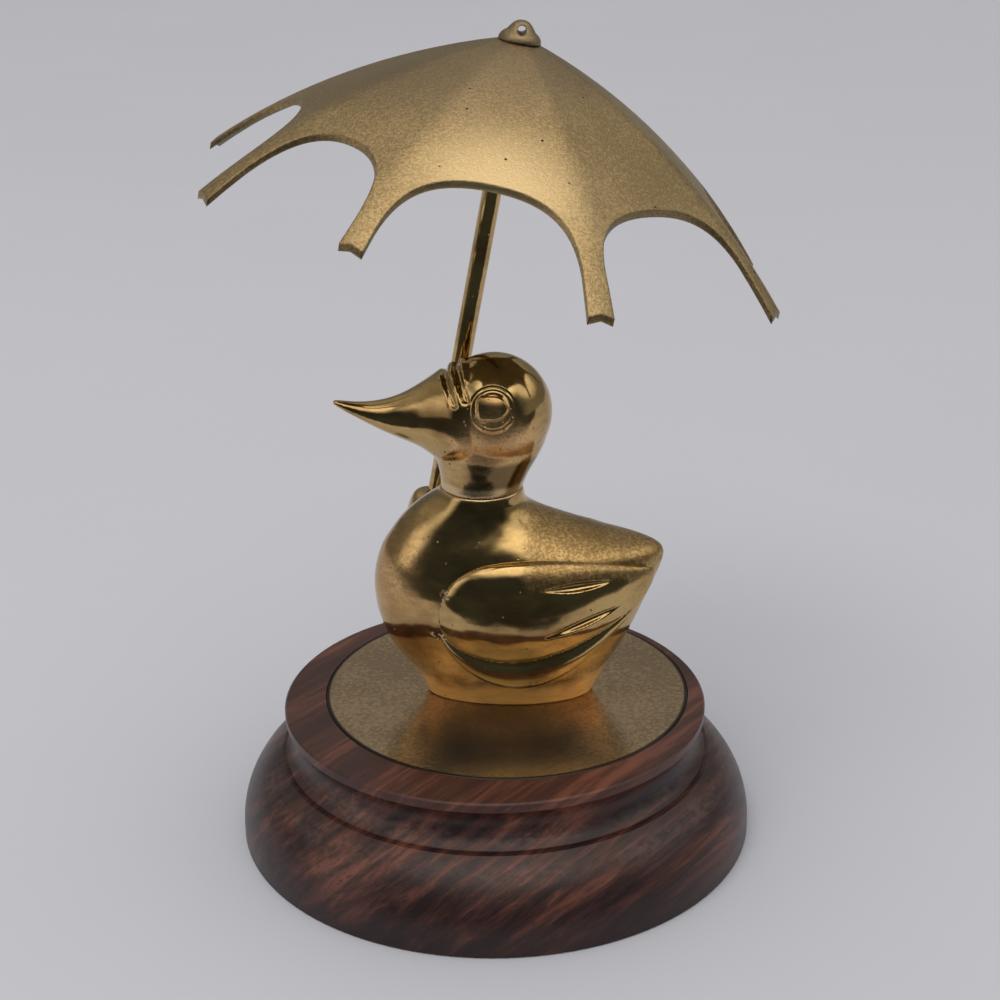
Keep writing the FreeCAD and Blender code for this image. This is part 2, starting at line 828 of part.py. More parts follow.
def wing_form(side):
    """A whole wing, let deep into the body."""
    outlines = []
    for way, rise, height_share, reach_share, under_share in WING_SECTION_SHARES:
        half_height = height_share * size("wing_height") / 2
        middle = size("wing_middle_height") + rise * size("wing_height")
        outer = reach_share * size("wing_reach")
        outlines.append(
            wing_outline(
                side,
                -size("wing_front_forward") + way * size("wing_length"),
                middle + half_height,
                middle - half_height,
                middle - half_height - size("under_wing_drop") * under_share,
                outer,
                outer - size("wing_root_depth") * height_share,
                size("under_wing_inset") * under_share,
            )
        )
    return Part.makeLoft(outlines, True, False)


def wing_surface(side, way, lift, proud):
    """A point over a wing's feathers, at a share of its length and a height above its middle."""
    first = [row for row in WING_SECTION_SHARES if row[0] < way][-1]
    last = [row for row in WING_SECTION_SHARES if row[0] >= way][0]
    mixed = (way - first[0]) / (last[0] - first[0])
    rise, height_share, reach_share = (
        first[column] + (last[column] - first[column]) * mixed for column in (1, 2, 3)
    )
    half_height = height_share * size("wing_height") / 2
    above = (lift - rise) * size("wing_height") / half_height
    half_depth = size("wing_root_depth") * height_share / 2
    outer = reach_share * size("wing_reach") - half_depth * (1 - math.sqrt(1 - above**2))
    along = -size("wing_front_forward") + way * size("wing_length")
    height = size("wing_middle_height") + lift * size("wing_height")
    return Vector(along, side * (outer + proud), height)


def feather_grooves(side):
    """The spindles that cut the grooves between the long feathers, narrow at both ends."""
    radius = size("feather_groove_radius")
    grooves = []
    for front_way, front_lift, back_way, back_lift in FEATHER_GROOVE_SHARES:
        front = wing_surface(side, front_way, front_lift, radius)
        back = wing_surface(side, back_way, back_lift, radius)
        rings = []
        for number, width_share in enumerate(GROOVE_WIDTH_SHARES):
            mixed = number / (len(GROOVE_WIDTH_SHARES) - 1)
            way = front_way + (back_way - front_way) * mixed
            lift = front_lift + (back_lift - front_lift) * mixed
            middle = wing_surface(side, way, lift, radius * GROOVE_LIFT_SHARE)
            ring = Part.Circle(middle, back - front, radius * width_share)
            rings.append(Part.Wire(ring.toShape()))
        grooves.append(Part.makeLoft(rings, True, False))
    return grooves


def make_wing(side):
    """A wing of two layers, with its inner face cut to the body that it is brazed on."""
    wing = largest_solid(wing_form(side).cut(body_form(1, 1, 1)))
    return largest_solid(wing.cut(feather_grooves(side)))


def largest_solid(shape):
    """The largest solid of a shape that a cut has left in several pieces."""
    return max(shape.Solids, key=lambda solid: solid.Volume)


# The umbrella. Its own frame has its origin at the top of the canopy and +Z along the shaft.


def umbrella_place():
    """Where the umbrella's frame stands, up the leaning shaft from the duck's shoulder."""
    back = FreeCAD.Rotation(Vector(1, 0, 0), -size("lean_back_angle"))
    right = FreeCAD.Rotation(Vector(0, 1, 0), size("lean_right_angle"))
    lean = right.multiply(back)
    socket = Vector(-size("socket_forward"), size("socket_back"), size("socket_height"))
    along = lean.multVec(Vector(0, 0, size("umbrella_length")))
    return FreeCAD.Placement(duck_place().multVec(socket) + along, lean)


def canopy_drop(reach):
    """How far the canopy's ribs have fallen below its top at this distance from the shaft."""
    start = math.radians(size("canopy_apex_angle"))
    slope = math.asin(math.sin(start) + reach / size("canopy_round"))
    return size("canopy_round") * (math.cos(start) - math.cos(slope))


def rib_direction(angle):
    """The level direction of a rib."""
    turn = math.radians(angle)
    return Vector(math.sin(turn), -math.cos(turn), 0)


def canopy_outline(reach, lowered, flat):
    """An outline of the canopy: eight corners on the ribs, with slightly rounded sides.

    The ribs fall by their own shares, apart from the outline at the hub and the one past the
    ribs' ends, which are flat.
    """
    corners = []
    for angle, drop_share in zip(RIB_ANGLES, RIB_DROP_SHARES):
        height = -canopy_drop(reach) * (1 if flat else drop_share) - lowered
        corners.append(rib_direction(angle) * reach + Vector(0, 0, height))
    edges = []
    for index, start in enumerate(corners):
        end = corners[(index + 1) % len(corners)]
        middle = (start + end) * 0.5
        outwards = Vector(middle.x, middle.y, 0)
        straight = outwards.Length
        outwards.normalize()
        pull = middle + outwards * ((reach - straight) * PANEL_FULLNESS_SHARE)
        curve = Part.BezierCurve()
        curve.setPoles([start, pull, end])
        edges.append(curve.toShape())
    return Part.Wire(edges)


def canopy_form(lowered):
    """The solid under the canopy's skin, from the flat of its hub to beyond the longest rib."""
    outlines = [canopy_outline(size("canopy_hub_radius"), lowered, True)]
    for share in CANOPY_LEVEL_SHARES:
        outlines.append(canopy_outline(share * size("canopy_reach"), lowered, False))
    outlines.append(canopy_outline(canopy_full_reach(), lowered, True))
    return Part.makeLoft(outlines, True, False)


def canopy_full_reach():
    """How far the canopy's skin is drawn before its ribs are cut to length."""
    return size("canopy_reach") * max(CANOPY_LEVEL_SHARES) + size("canopy_overrun")


def scallop_cutter(first_angle, second_angle, gap_share):
    """The U-shaped gap between two ribs, as a block that goes right through the canopy."""
    outside = 2 * size("canopy_reach")
    between = rib_direction((first_angle + second_angle) / 2)
    reach = size("scallop_reach") * gap_share
    hollow = between * reach
    sides = []
    for angle, turn in ((first_angle, 1), (second_angle, -1)):
        rib = rib_direction(angle)
        sideways = Vector(-rib.y, rib.x, 0) * turn
        neck = rib * size("finger_neck_reach") + sideways * size("finger_neck_half_width")
        tip = rib * size("canopy_reach") + sideways * size("finger_tip_half_width")
        sides.append((rib, neck, tip, tip + rib * outside))
    edges = [
        Part.LineSegment(sides[0][3], sides[0][2]).toShape(),
        Part.LineSegment(sides[0][2], sides[0][1]).toShape(),
    ]
    depth = size("finger_neck_reach") - reach
    across = Vector(-between.y, between.x, 0)
    half_span = (sides[1][1] - sides[0][1]).Length / 2
    for rib, neck, turn in ((sides[0][0], sides[0][1], -1), (sides[1][0], sides[1][1], 1)):
        curve = Part.BezierCurve()
        inwards = neck - rib * (depth * SCALLOP_SIDE_SHARE)
        end_pull = hollow + across * (turn * half_span * SCALLOP_END_SHARE)
        poles = [neck, inwards, end_pull, hollow]
        curve.setPoles(poles if turn < 0 else poles[::-1])
        edges.append(curve.toShape())
    edges.append(Part.LineSegment(sides[1][1], sides[1][2]).toShape())
    edges.append(Part.LineSegment(sides[1][2], sides[1][3]).toShape())
    edges.append(Part.LineSegment(sides[1][3], sides[0][3]).toShape())
    face = Part.Face(Part.Wire(edges))
    deep = canopy_drop(canopy_full_reach()) + size("canopy_wall") + size("cut_overrun")
    face.translate(Vector(0, 0, -deep))
    return face.extrude(Vector(0, 0, deep))


def tip_trimmer(angle, reach_share):
    """The block beyond the end of one rib."""
    beyond = size("canopy_reach")
    deep = 2 * beyond
    block = Part.makeBox(deep, beyond, 2 * deep, Vector(-beyond, -beyond, -deep))
    block.translate(Vector(0, -size("canopy_reach") * reach_share, 0))
    block.rotate(Vector(0, 0, 0), Vector(0, 0, 1), angle)
    return block


def make_umbrella_canopy():
    """The cast canopy: eight ridges, a gap between each two and a finger at each rib's end."""
    shell = canopy_form(0).cut(canopy_form(size("canopy_wall")))
    cutters = []
    count = len(RIB_ANGLES)
    for index in range(count):
        following = RIB_ANGLES[(index + 1) % count]
        if following < RIB_ANGLES[index]:
            following += 360
        cutters.append(scallop_cutter(RIB_ANGLES[index], following, GAP_REACH_SHARES[index]))
    for angle, reach_share in zip(RIB_ANGLES, RIB_REACH_SHARES):
        cutters.append(tip_trimmer(angle, reach_share))
    hole_radius = size("shaft_spigot_radius") + size("shaft_clearance")
    hub_depth = canopy_drop(size("canopy_hub_radius")) + size("canopy_wall")
    hub_hole = upright_cylinder(hole_radius, -hub_depth - size("cut_overrun"), size("cut_overrun"))
    canopy = shell.cut(hub_hole)
    for cutter in cutters:
        canopy = canopy.cut(cutter)
    return largest_solid(canopy)


def make_umbrella_shaft():
    """The round rod: its foot in the socket, a shoulder under the canopy and a spigot through it."""
    shoulder = -canopy_drop(size("canopy_hub_radius")) - size("canopy_wall")
    foot = -size("umbrella_length") - size("shaft_seat_depth")
    spigot_top = shoulder + size("shaft_spigot_length")
    rod = upright_cylinder(size("shaft_radius"), foot, shoulder)
    spigot = upright_cylinder(size("shaft_spigot_radius"), shoulder, spigot_top)
    return rod.fuse(spigot)


def make_umbrella_socket():
    """The cast socket on the duck's far shoulder, cut to the body that it is brazed on."""
    mouth = size("socket_mouth_rise")
    belly = -size("socket_belly_drop")
    foot = mouth - size("socket_length")
    outline = Part.BezierCurve()
    outline.setPoles(
        [
            Vector(size("socket_mouth_radius"), 0, mouth),
            Vector(size("socket_belly_radius"), 0, mouth),
            Vector(size("socket_belly_radius"), 0, belly),
            Vector(size("socket_belly_radius"), 0, foot),
        ]
    )
    corners = [
        Vector(size("socket_belly_radius"), 0, foot),
        Vector(0, 0, foot),
        Vector(0, 0, mouth),
        Vector(size("socket_mouth_radius"), 0, mouth),
    ]
    edges = [outline.toShape()]
    edges += [Part.LineSegment(a, b).toShape() for a, b in zip(corners, corners[1:])]
    turned = Part.Face(Part.Wire(edges)).revolve(Vector(0, 0, 0), Vector(0, 0, 1), 360)
    bore_radius = size("shaft_radius") + size("shaft_clearance")
    bore = upright_cylinder(bore_radius, -size("shaft_seat_depth"), mouth + size("cut_overrun"))
    socket = turned.cut(bore)
    socket.translate(Vector(0, 0, -size("umbrella_length")))
    socket = socket.transformGeometry(umbrella_place().toMatrix())
    body_shape = body_form(1, 1, 1)
    body_shape = body_shape.transformGeometry(duck_place().toMatrix())
    return largest_solid(socket.cut(body_shape))


def make_umbrella_finial():
    """The knob screwed down over the shaft's end, with a small eye through it."""
    bore_radius = size("shaft_spigot_radius") + size("shaft_clearance")
    hub_drop = canopy_drop(size("canopy_hub_radius"))
    seat = size("finial_seat_gap") - hub_drop
    skirt = size("finial_seat_gap") - canopy_drop(size("finial_radius"))
    bore_top = size("shaft_spigot_length") - hub_drop - size("canopy_wall")
    waist = Vector(size("finial_waist_radius"), 0, size("finial_waist_height"))
    crown = Vector(size("finial_top_radius"), 0, size("finial_height"))
    side = Part.BezierCurve()
    side.setPoles([Vector(size("finial_radius"), 0, skirt), Vector(size("finial_radius"), 0, 0), waist])
    top = Part.BezierCurve()
    top.setPoles([waist, crown, Vector(crown.x / 2, 0, crown.z), Vector(0, 0, crown.z)])
    corners = [
        Vector(0, 0, crown.z),
        Vector(0, 0, bore_top),
        Vector(bore_radius, 0, bore_top),
        Vector(bore_radius, 0, seat),
        Vector(size("canopy_hub_radius"), 0, seat),
        Vector(size("finial_radius"), 0, skirt),
    ]
    edges = [side.toShape(), top.toShape()]
    edges += [Part.LineSegment(a, b).toShape() for a, b in zip(corners, corners[1:])]
    knob = Part.Face(Part.Wire(edges)).revolve(Vector(0, 0, 0), Vector(0, 0, 1), 360)
    eye_length = 2 * (size("finial_radius") + size("cut_overrun"))
    eye_start = Vector(0, -eye_length / 2, bore_top + size("finial_eye_height"))
    eye = Part.makeCylinder(size("finial_eye_radius"), eye_length, eye_start, Vector(0, 1, 0))
    return knob.cut(eye)


# Every piece as an object of the document, checked and written


def add_piece(label, shape, placement):
    """A piece whose shape no sketched feature gives, put in its place."""
    piece = document.addObject("Part::Feature", label)
    piece.Label = label
    piece.Shape = shape
    piece.Placement = placement
    return piece


def build():
    """Builds every piece and returns them."""
    bodies = [
        make_wood_base(),
        make_base_felt(),
        make_base_plate(),
        make_mounting_washer(),
        make_mounting_screw(),
    ]
    duck = duck_place()
    umbrella = umbrella_place()
    bodies.append(add_piece("duck_body", make_duck_body(), duck))
    bodies.append(add_piece("duck_head", make_duck_head(), duck))
    bodies.append(add_piece("left_wing", make_wing(-1), duck))
    bodies.append(add_piece("right_wing", make_wing(1), duck))
    bodies.append(add_piece("umbrella_socket", make_umbrella_socket(), FreeCAD.Placement()))
    bodies.append(add_piece("umbrella_shaft", make_umbrella_shaft(), umbrella))
    bodies.append(add_piece("umbrella_canopy", make_umbrella_canopy(), umbrella))
    bodies.append(add_piece("umbrella_finial", make_umbrella_finial(), umbrella))
    document.recompute()
    return bodies


def check(pieces):
    """Stops if any object failed, or any piece has a shape that is missing or not valid."""
    for item in document.Objects:
        if "Invalid" in item.State or "Error" in item.State:
            raise RuntimeError(f"{item.Label} failed: {item.State}")
    for piece in pieces:
        if piece.Shape.isNull() or not piece.Shape.isValid():
            raise RuntimeError(f"{piece.Label} has no valid shape")
        print(piece.Label, len(piece.Shape.Solids), "solids", round(piece.Shape.Volume), "mm3")


def write(pieces):
    """Writes each piece to a file of its own."""
    os.makedirs("parts", exist_ok=True)
    for piece in pieces:
        piece.Shape.exportStep(f"parts/{piece.Label}.step")


made = build()
check(made)
write(made)
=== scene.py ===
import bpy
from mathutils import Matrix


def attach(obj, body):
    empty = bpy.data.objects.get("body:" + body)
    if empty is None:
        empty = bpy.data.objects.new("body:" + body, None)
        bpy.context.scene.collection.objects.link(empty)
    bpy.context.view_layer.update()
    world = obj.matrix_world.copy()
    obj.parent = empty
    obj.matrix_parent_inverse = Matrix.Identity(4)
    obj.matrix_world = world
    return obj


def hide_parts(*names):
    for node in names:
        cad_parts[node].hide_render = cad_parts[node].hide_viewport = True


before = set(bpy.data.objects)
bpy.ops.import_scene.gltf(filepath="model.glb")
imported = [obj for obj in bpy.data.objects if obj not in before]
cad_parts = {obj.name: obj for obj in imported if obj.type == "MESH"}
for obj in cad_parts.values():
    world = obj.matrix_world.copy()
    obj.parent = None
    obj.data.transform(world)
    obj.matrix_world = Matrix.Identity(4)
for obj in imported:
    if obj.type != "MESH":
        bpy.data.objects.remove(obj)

"""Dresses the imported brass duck: cast and turned pieces, their finishes, and a studio picture.

Lengths are in metres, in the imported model's frame: the origin is the middle of the face that the
base rests on, +Z is up, the duck looks along -X and its left side faces the camera along -Y.
"""

import math

import bmesh
import bpy
from bpy.props import FloatProperty, FloatVectorProperty, IntProperty, PointerProperty
from mathutils import Matrix, Vector

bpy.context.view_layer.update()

bl_info = {
    "name": "Brass duck dresser",
    "version": (1, 0, 0),
    "blender": (4, 5, 0),
    "location": "3D View > Sidebar > Duck",
    "description": "Dresses the packed duck, umbrella and base, and sets up their studio",
    "category": "Object",
}

# The middle of the brass disc, where the duck's own frame stands.
DISC_CENTRE = Vector((0.0030, 0.00375, 0.0333))
MILLIMETRE = 0.001


def from_duck(along, across, up):
    """A point of the duck's own frame in millimetres, as a point of the model."""
    return DISC_CENTRE + Vector((along, across, up)) * MILLIMETRE


# Colours and sizes that a user may change


def colour_property(name, description, default):
    """A colour of a finish, in linear light."""
    return FloatVectorProperty(
        name=name, description=description, default=default, size=3, subtype="COLOR", min=0, max=1
    )


class DuckSettings(bpy.types.PropertyGroup):
    """The duck's castings."""

    grid: FloatProperty(
        name="Casting grid",
        description="Cell size of the rounded skin drawn over a casting",
        default=0.0005, min=0.0002, max=0.002, precision=5, unit="LENGTH",
    )
    wing_grid: FloatProperty(
        name="Wing grid",
        description="Cell size of the rounded skin drawn over a wing",
        default=0.0003, min=0.0002, max=0.002, precision=5, unit="LENGTH",
    )
    rounding: IntProperty(
        name="Rounding", description="How many times the skin is eased", default=3, min=0, max=40
    )
    gold: colour_property("Polished gold", "Brass where the cloth reaches it", (0.62, 0.43, 0.18))
    umber: colour_property("Umber", "Brass that has browned", (0.34, 0.21, 0.085))
    tan: colour_property("Tan", "Unpolished cast skin", (0.95, 0.58, 0.27))
    # The throat's colour: a dark reflection of the wooden base, painted.
    throat_reflection_colour: colour_property("Throat reflection", "Dark reflection painted on the throat", (0.13, 0.085, 0.045))
    # Amber: a glow painted on the foot, for the disc's light reflected in it.
    amber: colour_property("Amber", "Glow painted on the foot, for the disc's reflected light", (1.0, 0.50, 0.11))
    # Pale gold: a reflection of the floor over the neck's joint, painted.
    pale: colour_property("Pale gold", "The bright band over the neck's joint", (0.76, 0.57, 0.34))
    chalk: colour_property("Polish residue", "Dried polish in the creases", (0.62, 0.60, 0.55))


class UmbrellaSettings(bpy.types.PropertyGroup):
    """The umbrella's castings and rod."""

    finial_grid: FloatProperty(
        name="Knob grid",
        description="Cell size of the rounded skin drawn over the knob",
        default=0.00025, min=0.0002, max=0.002, precision=5, unit="LENGTH",
    )
    rounding: IntProperty(
        name="Rounding",
        description="How many times the socket's skin is eased",
        default=2, min=0, max=40,
    )
    finial_rounding: IntProperty(
        name="Knob rounding",
        description="How many times the knob's skin is eased",
        default=3, min=0, max=40,
    )
    edge_radius: FloatProperty(
        name="Edge radius",
        description="How far the canopy's edges are eased in its finish",
        default=0.0007, min=0, max=0.003, precision=5, unit="LENGTH",
    )
    sand: colour_property("Sand brass", "The canopy's cast skin", (0.59, 0.43, 0.22))
    # The front's colour is a painted highlight, where the lamp's light falls.
    front_highlight: colour_property("Front highlight", "Highlight painted on the canopy's front", (0.92, 0.69, 0.38))
    dull: colour_property("Dull brass", "The greyed brass round the top", (0.27, 0.21, 0.14))
    # The underside's colour is painted shade.
    underside: colour_property("Underside", "The canopy's dark underside", (0.11, 0.095, 0.06))
    shade: colour_property("Shaded brass", "The canopy's darker grains", (0.34, 0.245, 0.12))


class BaseSettings(bpy.types.PropertyGroup):
    """The turned base and what is fixed to it."""

    wood_dark: colour_property("Dark grain", "The wood's dark streaks", (0.018, 0.0085, 0.0085))
    wood_red: colour_property("Red grain", "The wood's reddish streaks", (0.088, 0.030, 0.018))
    disc: colour_property("Disc brass", "The disc's olive brass", (0.42, 0.30, 0.175))
    # The disc's shade: a shadow and dark reflection of the duck painted in front of its foot.
    disc_painted_shadow: colour_property("Disc painted shadow", "Shadow and dark reflection painted before the foot", (0.12, 0.105, 0.072))
    felt: colour_property("Felt", "The felt under the base", (0.02, 0.05, 0.03))


class StudioSettings(bpy.types.PropertyGroup):
    """The floor, the light and the camera."""

    floor: colour_property("Floor", "The pale floor and backdrop", (0.525, 0.523, 0.545))
    backdrop: colour_property("Backdrop", "What shows beyond the floor", (0.41, 0.405, 0.425))
    lens: FloatProperty(
        name="Lens", description="Focal length in millimetres", default=72.0, min=10, max=300
    )
    camera_place: FloatVectorProperty(
        name="Camera place",
        description="Where the camera stands",
        default=(0.00172, -0.43841, 0.26551),
        size=3, precision=5, subtype="TRANSLATION", unit="LENGTH",
    )
    camera_tilt: FloatProperty(
        name="Camera tilt",
        description="How far the camera is tipped up from straight down",
        default=math.radians(67.6581), subtype="ANGLE", unit="ROTATION",
    )
    camera_roll: FloatProperty(
        name="Camera roll",
        description="How far the camera is turned about its own line of sight",
        default=math.radians(-0.5197), subtype="ANGLE", unit="ROTATION",
    )


def settings():
    """The settings of this scene."""
    return bpy.context.scene


# Shader values written as expressions


class Value:
    """One output of a shader node, on which sums and products add Math nodes."""

    def __init__(self, finish, socket):
        self.finish = finish
        self.socket = socket

    def worked(self, operation, first, second):
        return self.finish.node("ShaderNodeMath", {"operation": operation}, {0: first, 1: second})

    def __add__(self, other):
        return self.worked("ADD", self, other)

    def __radd__(self, other):
        return self.worked("ADD", other, self)

    def __sub__(self, other):
        return self.worked("SUBTRACT", self, other)

    def __rsub__(self, other):
        return self.worked("SUBTRACT", other, self)

    def __mul__(self, other):
        return self.worked("MULTIPLY", self, other)

    def __rmul__(self, other):
        return self.worked("MULTIPLY", other, self)


class Finish:
    """A material or world whose nodes are made by one method."""

    def __init__(self, owner):
        owner.use_nodes = True
        self.owner = owner
        self.tree = owner.node_tree
        self.tree.nodes.clear()

    def node(self, kind, choices=None, inputs=None, output=0):
        """Adds a node, makes its choices, fills its sockets and returns one of its outputs."""
        made = self.tree.nodes.new(kind)
        for choice, value in (choices or {}).items():
            setattr(made, choice, value)
        for key, value in (inputs or {}).items():
            if isinstance(value, Value):
                self.tree.links.new(value.socket, made.inputs[key])
            else:
                made.inputs[key].default_value = value
        return Value(self, made.outputs[output]) if made.outputs else made

    def place(self, turn=(0, 0, 0), stretch=(1, 1, 1)):
        """Object coordinates, stretched and turned."""
        raw = self.node("ShaderNodeTexCoord", output="Object")
        return self.node(
            "ShaderNodeMapping",
            {"vector_type": "POINT"},
            {"Vector": raw, "Rotation": turn, "Scale": stretch},
        )

    def duck_place(self):
        """Object coordinates in the duck's own frame, in millimetres."""
        from_disc = self.node(
            "ShaderNodeVectorMath", {"operation": "SUBTRACT"}, {0: self.place(), 1: DISC_CENTRE}
        )
        return self.node(
            "ShaderNodeVectorMath", {"operation": "SCALE"}, {0: from_disc, "Scale": 1 / MILLIMETRE}
        )

    def axis(self, place, letter):
        """One coordinate of a place."""
        return self.node("ShaderNodeSeparateXYZ", {}, {"Vector": place}, output=letter)

    def along(self, place, way):
        """How far a place lies along a way."""
        return self.node(
            "ShaderNodeVectorMath", {"operation": "DOT_PRODUCT"}, {0: place, 1: way}, output="Value"
        )

    def grains(self, place, scale, detail=3.0, roughness=0.5, warp=0.0):
        """Cloudy noise between 0 and 1."""
        return self.node(
            "ShaderNodeTexNoise",
            {},
            {
                "Vector": place,
                "Scale": scale,
                "Detail": detail,
                "Roughness": roughness,
                "Distortion": warp,
            },
        )

    def streaks(self, lengths, detail, roughness, warp=0.0):
        """Noise in streaks of these lengths along the wood's grain, up it and across it."""
        place = self.place()
        parts = [self.along(place, way / length) for way, length in zip(GRAIN_WAYS, lengths)]
        stretched = self.node("ShaderNodeCombineXYZ", {}, dict(enumerate(parts)))
        return self.grains(stretched, 1, detail, roughness, warp)

    def spots(self, place, scale, inside, outside):
        """1 in scattered round spots and 0 between them."""
        cells = self.node(
            "ShaderNodeTexVoronoi",
            {"feature": "F1"},
            {"Vector": place, "Scale": scale, "Randomness": 1.0},
        )
        return self.span(cells, inside, outside, 1.0, 0.0)

    def span(self, value, low, high, to_low=0.0, to_high=1.0):
        """The value, stretched from one range to another and held inside it."""
        return self.node(
            "ShaderNodeMapRange",
            {"clamp": True, "interpolation_type": "SMOOTHSTEP"},
            {"Value": value, "From Min": low, "From Max": high, "To Min": to_low, "To Max": to_high},
        )

    def blend(self, share, first, second):
        """A colour between two others."""
        return self.node(
            "ShaderNodeMix",
            {"data_type": "RGBA"},
            {0: share, 6: paint(first), 7: paint(second)},
            output=2,
        )

    def near(self, place, centre, inside, outside):
        """1 within a distance of a point and 0 beyond a longer one."""
        distance = self.node(
            "ShaderNodeVectorMath", {"operation": "DISTANCE"}, {0: place, 1: centre}, output="Value"
        )
        return self.span(distance, inside, outside, 1.0, 0.0)

    def facing(self, direction, way, inside, outside):
        """1 for directions within an angle of a way and 0 beyond a wider angle, in degrees."""
        closeness = self.along(direction, Vector(way).normalized())
        return self.span(closeness, math.cos(math.radians(outside)), math.cos(math.radians(inside)))

    def between(self, value, low, high, ease):
        """1 where the value lies between two others and 0 outside them, eased at both ends."""
        above = self.span(value, low - ease, low + ease)
        return above * self.span(value, high - ease, high + ease, 1.0, 0.0)

    def bump(self, height, distance, strength=1.0, normal=None):
        """A normal bumped by a height."""
        inputs = {"Height": height, "Distance": distance, "Strength": strength}
        if normal is not None:
            inputs["Normal"] = normal
        return self.node("ShaderNodeBump", {}, inputs)

    def surface(self, inputs):
        """The material's shader and output."""
        shader = self.node("ShaderNodeBsdfPrincipled", {}, inputs)
        self.node("ShaderNodeOutputMaterial", {}, {"Surface": shader})


def paint(colour):
    """A colour for a socket, or the value that is linked to it."""
    return colour if isinstance(colour, Value) else (*colour, 1)


def scaled(colour, share):
    """A colour made lighter or darker."""
    return tuple(min(1.0, part * share) for part in colour)


def new_finish(name):
    """An empty material with this name."""
    return Finish(bpy.data.materials.new(name))


# Finishes


# Patches on the duck: the middle of each in the duck's own frame, and how far from it the patch is
# full and is gone, in millimetres.
CHEEK = ((-2.5, -11.5, 69.0), 6.0, 12.5)
BREAST = ((-26.0, -9.0, 36.0), 6.0, 16.0)
LOW_CRUST = ((-16.8, -16.0, 22.0), 1.0, 4.2)
HIGH_CRUST = ((-14.6, -16.6, 33.0), 0.4, 2.0)

# Bands round the duck: their lower and upper heights and how softly they end, in millimetres.
# The throat's band holds a dark reflection of the wooden base, painted into its colour.
THROAT_REFLECTION_BAND = (57.0, 63.3, 0.8)
# The collar's band holds a pale reflection of the floor, painted into its colour.
COLLAR_REFLECTION_BAND = (54.1, 57.0, 0.6)
BACK_BAND = (34.5, 55.2, 2.0)

# Between which heights the cheek's patch begins and the foot's painted glow ends, and between which
# lengths the throat's painted reflection and the back's patch begin, in millimetres.
CHEEK_FOOT = (62.9, 64.7)
FOOT_GLOW_TOP = (5.2, 10.2)
THROAT_REFLECTION_FRONT = (-11.0, -6.0)
BACK_START = (0.0, 7.0)

# How far the edges of the patches wander, in millimetres.
WANDER = 12

# The patterns of the brass: how many grains lie along a metre, how many finer layers the grains have
# and how strong those layers are.
WAVES = (95, 2, 0.4)
CLOUDS = (55, 3, 0.5)
SMEARS = (260, 4, 0.6)
GRIT = (1300, 4, 0.7)
SCRATCHES = (420, 2, 0.5)
CRUMBS = (900, 4, 0.7)
PIT_GROUPS = (120, 2, 0.5)
SHEEN = (1500, 3, 0.6)

# How many pits lie along a metre, and how far from its middle a pit is full and is gone, as shares of
# the way from pit to pit.
PITS = (520, 0.08, 0.16)

# How deep the patterns of the brass are, in metres.
WAVE_DEPTH = 0.0011
GRIT_DEPTH = 0.0001
PIT_DEPTH = 0.00035

DARK_PIT = (0.03, 0.02, 0.012)


